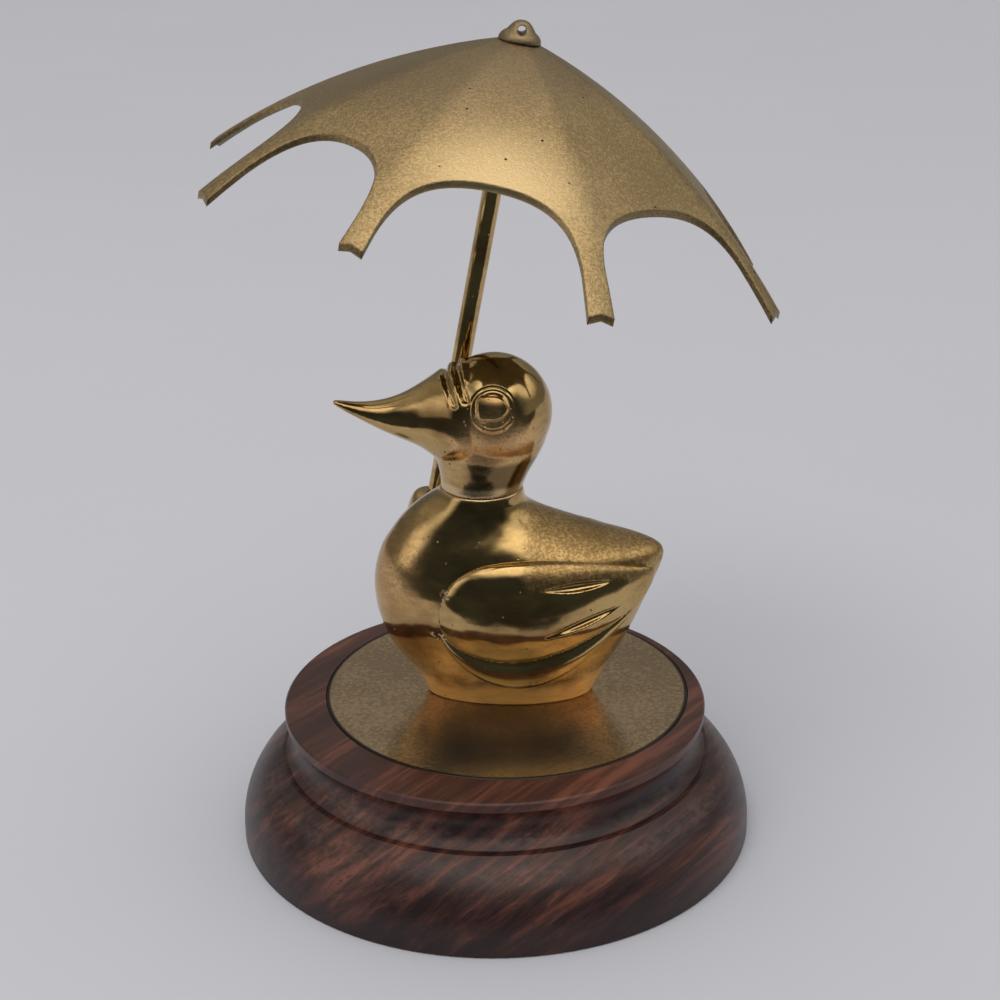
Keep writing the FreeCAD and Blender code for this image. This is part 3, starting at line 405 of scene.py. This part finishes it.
def polished_brass():
    """Brass casting polished by hand, with browned hollows, casting pits and dried polish, and with
    reflections painted on the throat and the collar and a glow painted on the foot.
    """
    duck = settings().duck_castings
    finish = new_finish("hand_polished_brass")
    place = finish.place()
    on_duck = finish.duck_place()
    along = finish.axis(on_duck, "X")
    height = finish.axis(on_duck, "Z")
    clouds = finish.grains(place, *CLOUDS)
    smears = finish.grains(finish.place(turn=(0.3, 0.5, 0.2), stretch=(1, 1, 3)), *SMEARS)
    grit = finish.grains(place, *GRIT)
    wobble = (clouds - 0.5) * WANDER
    ripple = wobble * 0.2

    # Where the cloth reached and where it didn't, and where reflections and a glow are painted
    back = finish.span(along + wobble, *BACK_START) * finish.between(height + wobble, *BACK_BAND)
    cheek = finish.near(on_duck, *CHEEK) * finish.span(height + ripple, *CHEEK_FOOT)
    painted_throat_reflection = finish.between(height + ripple, *THROAT_REFLECTION_BAND) * finish.span(along, *THROAT_REFLECTION_FRONT)
    breast = finish.near(on_duck, *BREAST)
    foot_painted_glow = finish.span(height + wobble, *FOOT_GLOW_TOP, 1.0, 0.0)
    painted_collar_reflection = finish.between(height + ripple, *COLLAR_REFLECTION_BAND)
    raw = finish.span(back + cheek * 0.8 + breast * 0.5 + foot_painted_glow * 0.4 + smears * 0.4, 0.40, 1.15)

    # Colours, from the widest patches to the smallest marks
    browned = finish.span(clouds + smears * 0.35, 0.56, 0.90)
    colour = finish.blend(browned, duck.gold, duck.umber)
    colour = finish.blend(cheek * 0.9 + breast * 0.3, colour, duck.tan)
    speckle = finish.span(grit, 0.42, 0.60, 1.0, 0.0)
    colour = finish.blend(speckle * (0.18 + raw * 0.80) * (1 - cheek * 0.65), colour, duck.umber)
    # Painted pale reflection of the floor over the neck's joint.
    colour = finish.blend(painted_collar_reflection * 0.7, colour, duck.pale)
    # Painted dark reflection of the wooden base on the throat.
    colour = finish.blend(painted_throat_reflection * 0.75, colour, duck.throat_reflection_colour)
    # Glow painted on the foot, for the disc's light reflected in it; lower down, the foot is also made
    # less metallic.
    painted_glow_share = finish.span(clouds + smears * 0.5, 0.55, 0.95, 0.95, 0.45)
    colour = finish.blend(foot_painted_glow * painted_glow_share, colour, duck.amber)
    pit_places = finish.span(finish.grains(place, *PIT_GROUPS), 0.56, 0.70)
    pits = finish.spots(place, *PITS) * (pit_places + cheek * 0.5 + back * 0.15)
    colour = finish.blend(pits * 0.9, colour, DARK_PIT)
    crumbs = finish.span(finish.grains(place, *CRUMBS), 0.52, 0.66)
    residue = (finish.near(on_duck, *LOW_CRUST) + finish.near(on_duck, *HIGH_CRUST)) * crumbs
    colour = finish.blend(residue * 0.6, colour, duck.chalk)

    # Sheen and relief
    sheen = finish.grains(place, *SHEEN)
    scratches = finish.grains(finish.place(turn=(0.1, 0.7, 0.4), stretch=(1, 1, 14)), *SCRATCHES)
    normal = finish.bump(finish.grains(place, *WAVES), WAVE_DEPTH, 0.40)
    normal = finish.bump(grit * raw + scratches * (0.02 + cheek * 0.5), GRIT_DEPTH, 0.35, normal)
    normal = finish.bump(1 - pits, PIT_DEPTH, 0.8, normal)
    finish.surface(
        {
            "Base Color": colour,
            "Metallic": 1 - residue * 0.8 - foot_painted_glow * 0.70,
            "Roughness": 0.07 + sheen * 0.10 + raw * 0.24 + residue * 0.4 + painted_collar_reflection * 0.15,
            "Normal": normal,
        }
    )
    return finish.owner


# Between which heights the canopy greys towards its top, and the highlight painted on its front: a
# middle and how far from it the patch is full and is gone, in the duck's frame, in millimetres.
DULL_TOP = (141.2, 155.2)
FRONT_PAINTED_HIGHLIGHT = ((-1.0, -30.0, 134.0), 3.0, 24.0)

# The patterns of the canopy, with the same three numbers as those of the brass.
SAND = (1300, 4, 0.75)
FINE_SAND = (2600, 2, 0.6)
PATCHES = (45, 3, 0.5)
SAND_PITS = (150, 0.030, 0.055)

SAND_DEPTH = 0.00022
SAND_PIT_DEPTH = 0.0004


def cast_brass():
    """The canopy's sandy cast skin, speckled and satin, with its edges eased, a highlight painted on
    its front and shade painted on its underside.
    """
    umbrella = settings().umbrella_castings
    finish = new_finish("sand_cast_brass")
    place = finish.place()
    on_duck = finish.duck_place()
    sand = finish.grains(place, *SAND)
    fine_sand = finish.grains(place, *FINE_SAND)
    patches = finish.grains(place, *PATCHES)
    share = finish.span(sand * 0.75 + fine_sand * 0.25 + patches * 0.25, 0.54, 0.76)
    colour = finish.blend(share, umbrella.shade, umbrella.sand)
    dulled = finish.span(finish.axis(on_duck, "Z") + patches * 3, *DULL_TOP)
    colour = finish.blend(dulled * 0.55, colour, umbrella.dull)
    # A highlight painted on the front panel, where the lamp's light falls.
    front_highlight = finish.near(on_duck, *FRONT_PAINTED_HIGHLIGHT)
    colour = finish.blend(front_highlight * 0.65, colour, umbrella.front_highlight)
    pits = finish.spots(place, *SAND_PITS)
    colour = finish.blend(pits, colour, DARK_PIT)
    facing = finish.node("ShaderNodeTexCoord", output="Normal")
    # Painted shade on every face that looks down.
    underside = finish.span(finish.axis(facing, "Z"), -0.25, -0.02, 1.0, 0.0)
    colour = finish.blend(underside * 0.85, colour, umbrella.underside)
    eased = finish.node("ShaderNodeBevel", {"samples": 6}, {"Radius": umbrella.edge_radius})
    normal = finish.bump(sand + fine_sand * 0.5, SAND_DEPTH, 0.55, eased)
    normal = finish.bump(1 - pits, SAND_PIT_DEPTH, 0.7, normal)
    finish.surface(
        {"Base Color": colour, "Metallic": 1.0, "Roughness": 0.34 + sand * 0.14, "Normal": normal}
    )
    return finish.owner


# The patch in front of the foot where a shadow and the duck's dark reflection are painted, and the
# disc inside its grimy edge: a middle and how far from it each is full and is gone, in the duck's
# frame, in millimetres.
DISC_PAINTED_SHADOW_PATCH = ((-2.0, -25.0, 0.0), 10.0, 25.0)
DISC_INSIDE = ((0.0, 0.0, 0.0), 43.6, 44.2)

# The patterns of the disc, with the same three numbers as those of the brass.
HAZE = (30, 4, 0.6)
ROLLED_GRAIN = (1100, 3, 0.65)
HAIRS = (90, 2, 0.5)
DUST = (170, 0.03, 0.06)

ROLLED_DEPTH = 0.00006
DUST_COLOUR = (0.5, 0.48, 0.42)
GRIME = (0.035, 0.025, 0.018)


def disc_brass():
    """The disc's olive brass: rolled sheet with a haze, dust, hair scratches, a grimy edge, and a
    shadow and dark reflection painted in front of the foot.
    """
    base = settings().turned_base
    finish = new_finish("olive_brass")
    place = finish.place()
    on_duck = finish.duck_place()
    haze = finish.grains(place, *HAZE)
    grain = finish.grains(place, *ROLLED_GRAIN)
    hairs = finish.grains(finish.place(turn=(0, 0, 0.5), stretch=(1, 30, 1)), *HAIRS)
    darker = scaled(base.disc, 0.80)
    lighter = scaled(base.disc, 1.27)
    colour = finish.blend(finish.span(haze * 0.45 + grain * 0.75, 0.48, 0.72), darker, lighter)
    painted_shadow = finish.near(on_duck, *DISC_PAINTED_SHADOW_PATCH)
    # Painted shadow and dark reflection of the duck in front of its foot.
    colour = finish.blend(painted_shadow * 0.75, colour, base.disc_painted_shadow)
    colour = finish.blend(finish.spots(place, *DUST) * 0.5, colour, DUST_COLOUR)
    colour = finish.blend(finish.near(on_duck, *DISC_INSIDE), GRIME, colour)
    finish.surface(
        {
            "Base Color": colour,
            "Metallic": 0.9,
            "Roughness": 0.15 + haze * 0.12,
            "Normal": finish.bump(grain + hairs * 0.5, ROLLED_DEPTH, 0.4),
        }
    )
    return finish.owner


# The wood's grain: along the fibres, up along a growth ring, and from ring to ring.
FIBRE_WAY = Vector((0.60, 0.80, 0.0))
RING_WAY = Vector((0.579, -0.434, -0.690)).normalized()
GRAIN_WAYS = (FIBRE_WAY, RING_WAY.cross(FIBRE_WAY), RING_WAY)

# Its marks: how long they are in those three ways in metres, how many finer layers they have, how
# strong those layers are and how far the marks are warped.
BANDS = ((0.090, 0.034, 0.0085), 3, 0.55, 0.5)
STREAKS = ((0.040, 0.012, 0.0024), 4, 0.62, 0.3)
FIBRES = ((0.0110, 0.0022, 0.00055), 3, 0.6)

# Bands round the wood, where its polish is worn and a sheen is painted: their lower and upper heights
# over the table and how softly they end, in millimetres.
CREST_BAND = (16.5, 19.0, 1.8)
COVE_BAND = (21.5, 24.5, 1.2)

# Between which heights the shade painted towards the foot ends and the rim's warmer wood begins, in
# millimetres.
FOOT_PAINTED_SHADE = (0.0, 18.0)
RIM_START = (30.0, 31.0)

# The patterns of the worn polish and its painted sheen, with the same three numbers as those of the
# brass.
WEAR = (60, 3, 0.6)
SMUDGES = (420, 4, 0.7)

PORE_DEPTH = 0.0001
PORE_COLOUR = (0.006, 0.003, 0.003)
# The pale colour of the worn polish, which also paints a sheen.
WORN_SHEEN_COLOUR = (0.34, 0.27, 0.24)


def dark_wood():
    """Dark oiled hardwood: near-black streaks in red brown, open pores, a worn polish with a painted
    sheen, and painted shade towards the foot.
    """
    base = settings().turned_base
    finish = new_finish("dark_hardwood")
    place = finish.place()
    height = finish.axis(place, "Z") * (1 / MILLIMETRE)
    bands = finish.streaks(*BANDS)
    streaks = finish.streaks(*STREAKS)
    fibres = finish.streaks(*FIBRES)
    share = finish.span(bands * 0.45 + streaks * 0.60 + fibres * 0.25, 0.54, 0.82)
    colour = finish.blend(share, base.wood_dark, base.wood_red)
    warm = scaled(base.wood_red, 1.9)
    colour = finish.blend(finish.span(bands * 0.4 + streaks * 0.6, 0.53, 0.66) * 0.75, colour, warm)
    colour = finish.blend(finish.span(height, *RIM_START) * 0.14, colour, warm)
    pores = finish.span(fibres, 0.60, 0.68)
    colour = finish.blend(pores * 0.55, colour, PORE_COLOUR)
    # Painted shade: the wood darkens towards the bottom.
    colour = finish.blend(finish.span(height, *FOOT_PAINTED_SHADE, 0.75, 0.0), colour, base.wood_dark)
    wear = finish.span(finish.grains(place, *WEAR), 0.35, 0.70)
    smudges = finish.grains(finish.place(stretch=(1, 1, 2)), *SMUDGES)
    crest_and_cove = finish.between(height, *CREST_BAND) + finish.between(height, *COVE_BAND) * 0.8
    worn_and_sheen = (0.35 + wear) * finish.span(smudges, 0.35, 0.65) * crest_and_cove
    # Worn polish, with a pale sheen painted along the crest and the cove.
    colour = finish.blend(worn_and_sheen * 0.10, colour, WORN_SHEEN_COLOUR)
    normal = finish.bump(1 - pores, PORE_DEPTH, 0.30)
    normal = finish.bump(smudges, PORE_DEPTH, 0.25, normal)
    finish.surface(
        {
            "Base Color": colour,
            "Roughness": 0.36 + worn_and_sheen * 0.20,
            "Specular IOR Level": 0.32,
            "Coat Weight": 0.10 + worn_and_sheen * 0.26,
            "Coat Roughness": 0.26,
            "Normal": normal,
        }
    )
    return finish.owner


# The felt's mat: grains along a metre, finer layers, their strength and how far they are warped.
FELT_MAT = (900, 5, 0.8, 1.5)
FELT_DEPTH = 0.0004


def felt():
    """Matted felt."""
    base = settings().turned_base
    finish = new_finish("felt")
    mat = finish.grains(finish.place(), *FELT_MAT)
    colour = finish.blend(finish.span(mat, 0.35, 0.7), base.felt, scaled(base.felt, 2.2))
    finish.surface(
        {"Base Color": colour, "Roughness": 0.95, "Normal": finish.bump(mat, FELT_DEPTH, 0.8)}
    )
    return finish.owner


# The steel's spangle, with the same three numbers as the patterns of the brass.
SPANGLE = (700, 3, 0.6)
SPANGLE_DEPTH = 0.00005
STEEL_DARK = (0.42, 0.42, 0.43)
STEEL_LIGHT = (0.62, 0.62, 0.63)


def zinc_steel():
    """The plated steel of the screw and washer."""
    finish = new_finish("plated_steel")
    spangle = finish.grains(finish.place(), *SPANGLE)
    colour = finish.blend(finish.span(spangle, 0.35, 0.7), STEEL_DARK, STEEL_LIGHT)
    finish.surface(
        {
            "Base Color": colour,
            "Metallic": 1.0,
            "Roughness": 0.28 + spangle * 0.15,
            "Normal": finish.bump(spangle, SPANGLE_DEPTH, 0.4),
        }
    )
    return finish.owner


def finish_called(name, maker):
    """The material of this name, made the first time that a piece needs it."""
    return bpy.data.materials.get(name) or maker()


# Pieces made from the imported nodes

SHARP_ANGLE = math.radians(32)
MERGE_DISTANCE = 0.000002

# How far each easing step moves a vertex towards the middle of its neighbours.
EASE_SHARE = 0.5


def merged_copy(node):
    """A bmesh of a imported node, with its loose triangles joined."""
    shape = bmesh.new()
    shape.from_mesh(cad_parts[node].data)
    bmesh.ops.remove_doubles(shape, verts=shape.verts, dist=MERGE_DISTANCE)
    return shape


def new_piece(name, shape, material, node):
    """An object from a bmesh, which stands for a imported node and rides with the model."""
    mesh = bpy.data.meshes.new(name)
    shape.to_mesh(mesh)
    shape.free()
    mesh.materials.append(material)
    piece = bpy.data.objects.new(name, mesh)
    bpy.context.scene.collection.objects.link(piece)
    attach(piece, "root")
    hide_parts(node)


def shade(shape):
    """Smooth shading, with its sharp edges kept."""
    for face in shape.faces:
        face.smooth = True
    for edge in shape.edges:
        if len(edge.link_faces) == 2:
            edge.smooth = edge.calc_face_angle(0) < SHARP_ANGLE


def machined_piece(name, node, material):
    """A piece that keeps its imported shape, with smooth round faces and crisp edges."""
    shape = merged_copy(node)
    shade(shape)
    new_piece(name, shape, material, node)


def longest_side(mesh):
    """The longest side of the box round a mesh."""
    spans = []
    for axis in range(3):
        places = [vertex.co[axis] for vertex in mesh.vertices]
        spans.append(max(places) - min(places))
    return max(spans)


def rounded_skin(node, grid, rounding):
    """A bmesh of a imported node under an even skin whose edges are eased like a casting's."""
    mesh = bpy.data.meshes.new(node + "_source")
    shape = merged_copy(node)
    shape.to_mesh(mesh)
    shape.free()
    holder = bpy.data.objects.new(node + "_source", mesh)
    bpy.context.scene.collection.objects.link(holder)
    remesh = holder.modifiers.new("skin", "REMESH")
    remesh.mode = "SHARP"
    remesh.use_remove_disconnected = False
    remesh.sharpness = 1.0
    side = longest_side(mesh)
    halvings = math.ceil(math.log2(side / grid))
    remesh.octree_depth = halvings
    remesh.scale = side / (grid * 2**halvings)
    view_graph = bpy.context.evaluated_depsgraph_get()
    skin = bmesh.new()
    skin.from_object(holder, view_graph)
    bpy.data.objects.remove(holder)
    bpy.data.meshes.remove(mesh)
    if not skin.faces:
        raise RuntimeError(f"{node} gave no skin")
    for _ in range(rounding):
        bmesh.ops.smooth_vert(
            skin, verts=skin.verts, factor=EASE_SHARE, use_axis_x=True, use_axis_y=True, use_axis_z=True
        )
    for face in skin.faces:
        face.smooth = True
    return skin


def cast_piece(name, node, grid, rounding, material, carve=None):
    """A casting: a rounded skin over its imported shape, carved by a function if one is given."""
    skin = rounded_skin(node, grid, rounding)
    if carve:
        carve(skin)
    new_piece(name, skin, material, node)


# The duck

# The right eye's middle and the way it looks, in the duck's frame, in millimetres. The left eye is
# its mirror image.
EYE_MIDDLE = (-2.8, 12.35, 77.9)
EYE_OUTWARDS = (-0.03, 0.925, 0.38)

# How far from the eye's middle the cheek is made finer, how far it is carved, over how much of that
# the carving fades, how far below the middle it reaches, and the cheek's radius, in millimetres.
FINE_REACH = 6.2
EYE_REACH = 5.6
EYE_FADE = 0.5
EYE_DEPTH = 4.0
CHEEK_RADIUS = 13.4

# How many times each edge is cut where the cheek is made finer.
EYE_CUTS = 3

# The ring, the moat inside it and the pupil, in millimetres.
BEAD_REACH = 4.75
BEAD_WIDTH = 0.40
BEAD_HEIGHT = 0.10
MOAT_REACH = 4.10
MOAT_WIDTH = 0.60
MOAT_DEPTH = 0.15
MOAT_WALL = 0.3
PUPIL_HALF_LENGTH = 3.65
PUPIL_HALF_HEIGHT = 3.0
PUPIL_HEIGHT = 0.42
PUPIL_BEVEL = 0.30
PUPIL_LOW_BEVEL = 0.80


def pupil_depth(across, up):
    """How far a place lies inside the pupil's outline, which is square in front and round behind."""
    if across > 0:
        return PUPIL_HALF_HEIGHT * (1 - math.hypot(across / PUPIL_HALF_LENGTH, up / PUPIL_HALF_HEIGHT))
    reach = math.hypot(across, up)
    return min(PUPIL_HALF_LENGTH + across, PUPIL_HALF_HEIGHT - abs(up), MOAT_REACH - reach)


def round_ridge(distance, width):
    """The height of a ridge of height 1 at a distance from its middle."""
    return math.exp(-((distance / width) ** 2))


def eye_relief(across, up):
    """How high the eye stands over the cheek at a place of its own plane; across runs tailwards."""
    reach = math.hypot(across, up)
    bead = BEAD_HEIGHT * round_ridge(reach - BEAD_REACH, BEAD_WIDTH)
    depth = pupil_depth(across, up)
    if depth > 0:
        bevel = PUPIL_BEVEL + PUPIL_LOW_BEVEL * max(-up / PUPIL_HALF_HEIGHT, 0.0)
        return bead + PUPIL_HEIGHT * min(depth / bevel, 1.0)
    wall = min(-depth / MOAT_WALL, 1.0)
    return bead - MOAT_DEPTH * round_ridge(reach - MOAT_REACH, MOAT_WIDTH) * wall


def cheek_height(across, up):
    """The height of the cheek's round surface over the plane through the eye's middle."""
    return -(across**2 + up**2) / (2 * CHEEK_RADIUS)


def carve_eye(skin, side):
    """Draws one eye over the cheek; side is -1 for the left eye and 1 for the right."""
    middle = from_duck(EYE_MIDDLE[0], side * EYE_MIDDLE[1], EYE_MIDDLE[2])
    outwards = Vector((EYE_OUTWARDS[0], side * EYE_OUTWARDS[1], EYE_OUTWARDS[2])).normalized()
    tailwards = Vector((1, 0, 0))
    across = (tailwards - outwards * tailwards.dot(outwards)).normalized()
    up = outwards.cross(across)
    if up.z < 0:
        up = -up
    chosen = {vertex for vertex in skin.verts if (vertex.co - middle).length < FINE_REACH * MILLIMETRE}
    edges = [edge for edge in skin.edges if chosen.issuperset(edge.verts)]
    bmesh.ops.subdivide_edges(skin, edges=edges, cuts=EYE_CUTS, use_grid_fill=True)
    for vertex in skin.verts:
        offset = (vertex.co - middle) / MILLIMETRE
        if offset.length > FINE_REACH or offset.dot(outwards) < -EYE_DEPTH:
            continue
        x = offset.dot(across)
        y = offset.dot(up)
        distance = math.hypot(x, y)
        if distance > EYE_REACH:
            continue
        rise = cheek_height(x, y) + eye_relief(x, y) - offset.dot(outwards)
        fade = min((EYE_REACH - distance) / EYE_FADE, 1.0)
        vertex.co += outwards * (rise * fade * MILLIMETRE)


def carve_head(skin):
    """Gives both eyes a beaded ring, a moat and a raised pupil with one flat side."""
    for side in (-1, 1):
        carve_eye(skin, side)


class BRASSDUCK_OT_duck(bpy.types.Operator):
    """Makes the duck's body, head and wings as polished castings"""

    bl_idname = "brass_duck.duck"
    bl_label = "Duck castings"

    def execute(self, context):
        duck = context.scene.duck_castings
        brass = finish_called("hand_polished_brass", polished_brass)
        for name, node, grid, carve in (
            ("duck_body_casting", "duck_body", duck.grid, None),
            ("duck_head_casting", "duck_head", duck.grid, carve_head),
            ("left_wing_casting", "left_wing", duck.wing_grid, None),
            ("right_wing_casting", "right_wing", duck.wing_grid, None),
        ):
            cast_piece(name, node, grid, duck.rounding, brass, carve)
        return {"FINISHED"}


class BRASSDUCK_OT_umbrella(bpy.types.Operator):
    """Makes the umbrella's socket, rod, canopy and knob"""

    bl_idname = "brass_duck.umbrella"
    bl_label = "Umbrella"

    def execute(self, context):
        umbrella = context.scene.umbrella_castings
        grid = context.scene.duck_castings.grid
        polished = finish_called("hand_polished_brass", polished_brass)
        cast = finish_called("sand_cast_brass", cast_brass)
        machined_piece("canopy_casting", "umbrella_canopy", cast)
        cast_piece(
            "socket_casting", "umbrella_socket", grid, umbrella.rounding, polished
        )
        cast_piece(
            "finial_casting",
            "umbrella_finial",
            umbrella.finial_grid,
            umbrella.finial_rounding,
            cast,
        )
        machined_piece("umbrella_rod", "umbrella_shaft", polished)
        return {"FINISHED"}


class BRASSDUCK_OT_base(bpy.types.Operator):
    """Makes the turned base, its disc, felt, screw and washer"""

    bl_idname = "brass_duck.base"
    bl_label = "Turned base"

    def execute(self, context):
        wood = finish_called("dark_hardwood", dark_wood)
        machined_piece("turned_wood", "wood_base", wood)
        disc = finish_called("olive_brass", disc_brass)
        machined_piece("brass_disc", "base_plate", disc)
        machined_piece("felt_disc", "base_felt", finish_called("felt", felt))
        steel = finish_called("plated_steel", zinc_steel)
        machined_piece("screw", "mounting_screw", steel)
        machined_piece("washer", "mounting_washer", steel)
        return {"FINISHED"}


# The studio

FLOOR_HALF_WIDTH = 6.0
FLOOR_MOTTLE = (6, 4, 0.6)

# How far in front of the base's middle the table ends in what the brass mirrors, and how soft that
# edge is, in metres.
TABLE_FRONT = 0.114
TABLE_EDGE = 0.002

# The one lamp: where it hangs, where it looks, its size in metres and its power in watts.
KEY_PLACE = (-0.35, -0.45, 1.05)
KEY_TARGET = (0.0, 0.0, 0.1)
KEY_SIZE = (0.7, 0.5)
KEY_POWER = 3.4

# The sky that dull surfaces see.
EVEN_SKY = (0.86, 0.86, 0.88)

# The room that the brass mirrors. Heights and depths are those of a direction of length 1.
SKY_HEIGHTS = (0.25, 0.80)
SKY_LOW = (0.20, 0.20, 0.19)
SKY_HIGH = (0.46, 0.44, 0.40)
VIEWER_AHEAD = (-0.62, -0.30)
VIEWER_TOP = (0.50, 0.68)
VIEWER_DARK = (0.035, 0.042, 0.045)
LAMP_BAND = (0.77, 0.91, 0.045)
LAMP_AHEAD = (-0.34, -0.16)
LAMP_LIGHT = (1.50, 1.43, 1.32)

# Its ceiling, right wall and window: the way to each, the angles from it in degrees at which its
# light is full and is gone, and the light.
ROOM_GLOWS = (
    ((0.10, -0.30, 0.95), 15, 43, (1.80, 1.68, 1.50)),
    ((0.72, 0.06, 0.70), 14, 32, (0.95, 0.92, 0.86)),
    ((-0.86, -0.42, 0.30), 13, 27, (1.05, 1.02, 0.98)),
)


def floor_finish():
    """The pale paper that the base stands on. In the brass, it ends where the viewer stands."""
    finish = new_finish("pale_paper")
    place = finish.place()
    mottle = finish.grains(place, *FLOOR_MOTTLE)
    pale = settings().studio.floor
    colour = finish.blend(finish.span(mottle, 0.3, 0.7), scaled(pale, 0.985), pale)
    mirrored = finish.node("ShaderNodeLightPath", output="Is Glossy Ray")
    beyond = finish.span(finish.axis(place, "Y"), -TABLE_FRONT - TABLE_EDGE, -TABLE_FRONT, 1.0, 0.0)
    colour = finish.blend(mirrored * beyond, colour, VIEWER_DARK)
    finish.surface({"Base Color": colour, "Roughness": 0.9, "Specular IOR Level": 0.1})
    return finish.owner


def make_floor():
    """A wide floor round the base."""
    shape = bmesh.new()
    bmesh.ops.create_grid(shape, x_segments=1, y_segments=1, size=FLOOR_HALF_WIDTH)
    mesh = bpy.data.meshes.new("floor")
    shape.to_mesh(mesh)
    shape.free()
    mesh.materials.append(floor_finish())
    floor = bpy.data.objects.new("floor", mesh)
    bpy.context.scene.collection.objects.link(floor)


def add_softbox(name, place, target, size, power):
    """A square lamp that looks at a point and that the brass doesn't mirror."""
    lamp = bpy.data.lights.new(name, "AREA")
    lamp.shape = "RECTANGLE"
    lamp.size, lamp.size_y = size
    lamp.energy = power
    holder = bpy.data.objects.new(name, lamp)
    way = Vector(target) - Vector(place)
    holder.location = place
    holder.rotation_mode = "QUATERNION"
    holder.rotation_quaternion = way.to_track_quat("-Z", "Y")
    holder.visible_glossy = False
    bpy.context.scene.collection.objects.link(holder)


def make_world():
    """The room: an even sky for dull surfaces, and what polished brass mirrors.

    The mirrored room has a dim sky, a glowing ceiling, a bright wall at the right, a window at the
    left, the dark of the viewer in front and a band of lamp light over them.
    """
    finish = Finish(bpy.data.worlds.new("room"))
    direction = finish.node("ShaderNodeTexCoord", output="Generated")
    ahead = finish.axis(direction, "Y")
    height = finish.axis(direction, "Z")
    room = finish.blend(finish.span(height, *SKY_HEIGHTS), SKY_LOW, SKY_HIGH)
    for way, inside, outside, light in ROOM_GLOWS:
        room = finish.blend(finish.facing(direction, way, inside, outside), room, light)
    viewer = finish.span(ahead, *VIEWER_AHEAD, 1.0, 0.0) * finish.span(height, *VIEWER_TOP, 1.0, 0.0)
    room = finish.blend(viewer, room, VIEWER_DARK)
    lamp = finish.between(height, *LAMP_BAND) * finish.span(ahead, *LAMP_AHEAD, 1.0, 0.0)
    room = finish.blend(lamp, room, LAMP_LIGHT)
    mirrored = finish.node("ShaderNodeLightPath", output="Is Glossy Ray")
    seen = finish.node("ShaderNodeLightPath", output="Is Camera Ray")
    colour = finish.blend(mirrored, EVEN_SKY, room)
    colour = finish.blend(seen, colour, settings().studio.backdrop)
    background = finish.node("ShaderNodeBackground", {}, {"Color": colour, "Strength": 1.0})
    finish.node("ShaderNodeOutputWorld", {}, {"Surface": background})
    finish.owner.cycles.sampling_method = "NONE"
    bpy.context.scene.world = finish.owner


def make_camera():
    """The camera, where the photographer stood."""
    studio = settings().studio
    lens = bpy.data.cameras.new("camera")
    lens.lens = studio.lens
    lens.sensor_width = 36
    lens.clip_start = 0.01
    lens.clip_end = 50
    camera = bpy.data.objects.new("camera", lens)
    tilt = Matrix.Rotation(studio.camera_tilt, 4, "X")
    roll = Matrix.Rotation(studio.camera_roll, 4, "Z")
    camera.matrix_world = Matrix.Translation(studio.camera_place) @ tilt @ roll
    bpy.context.scene.collection.objects.link(camera)
    bpy.context.scene.camera = camera


class BRASSDUCK_OT_studio(bpy.types.Operator):
    """Makes the floor, the lamp, the room and the camera"""

    bl_idname = "brass_duck.studio"
    bl_label = "Studio"

    def execute(self, context):
        make_floor()
        make_world()
        add_softbox("key", KEY_PLACE, KEY_TARGET, KEY_SIZE, KEY_POWER)
        make_camera()
        context.scene.view_settings.view_transform = "Standard"
        return {"FINISHED"}


class BRASSDUCK_PT_panel(bpy.types.Panel):
    """Lists the duck's pieces and settings"""

    bl_idname = "BRASSDUCK_PT_panel"
    bl_label = "Brass duck"
    bl_space_type = "VIEW_3D"
    bl_region_type = "UI"
    bl_category = "Duck"

    def draw(self, context):
        layout = self.layout
        for operator in OPERATORS:
            layout.operator(operator.bl_idname)
        for group in (
            context.scene.duck_castings,
            context.scene.umbrella_castings,
            context.scene.turned_base,
            context.scene.studio,
        ):
            box = layout.box()
            for name in group.__annotations__:
                box.prop(group, name)


OPERATORS = (BRASSDUCK_OT_duck, BRASSDUCK_OT_umbrella, BRASSDUCK_OT_base, BRASSDUCK_OT_studio)
GROUPS = {
    "duck_castings": DuckSettings,
    "umbrella_castings": UmbrellaSettings,
    "turned_base": BaseSettings,
    "studio": StudioSettings,
}


def register():
    """Adds the classes and the settings to Blender."""
    for group in GROUPS.values():
        bpy.utils.register_class(group)
    for name, group in GROUPS.items():
        setattr(bpy.types.Scene, name, PointerProperty(type=group))
    for operator in OPERATORS:
        bpy.utils.register_class(operator)
    bpy.utils.register_class(BRASSDUCK_PT_panel)


def unregister():
    """Takes the classes and the settings out of Blender."""
    bpy.utils.unregister_class(BRASSDUCK_PT_panel)
    for operator in reversed(OPERATORS):
        bpy.utils.unregister_class(operator)
    for name, group in reversed(GROUPS.items()):
        delattr(bpy.types.Scene, name)
        bpy.utils.unregister_class(group)


def main():
    """Makes every piece and the studio."""
    register()
    bpy.ops.brass_duck.duck()
    bpy.ops.brass_duck.umbrella()
    bpy.ops.brass_duck.base()
    bpy.ops.brass_duck.studio()


if __name__ == "__main__":
    main()
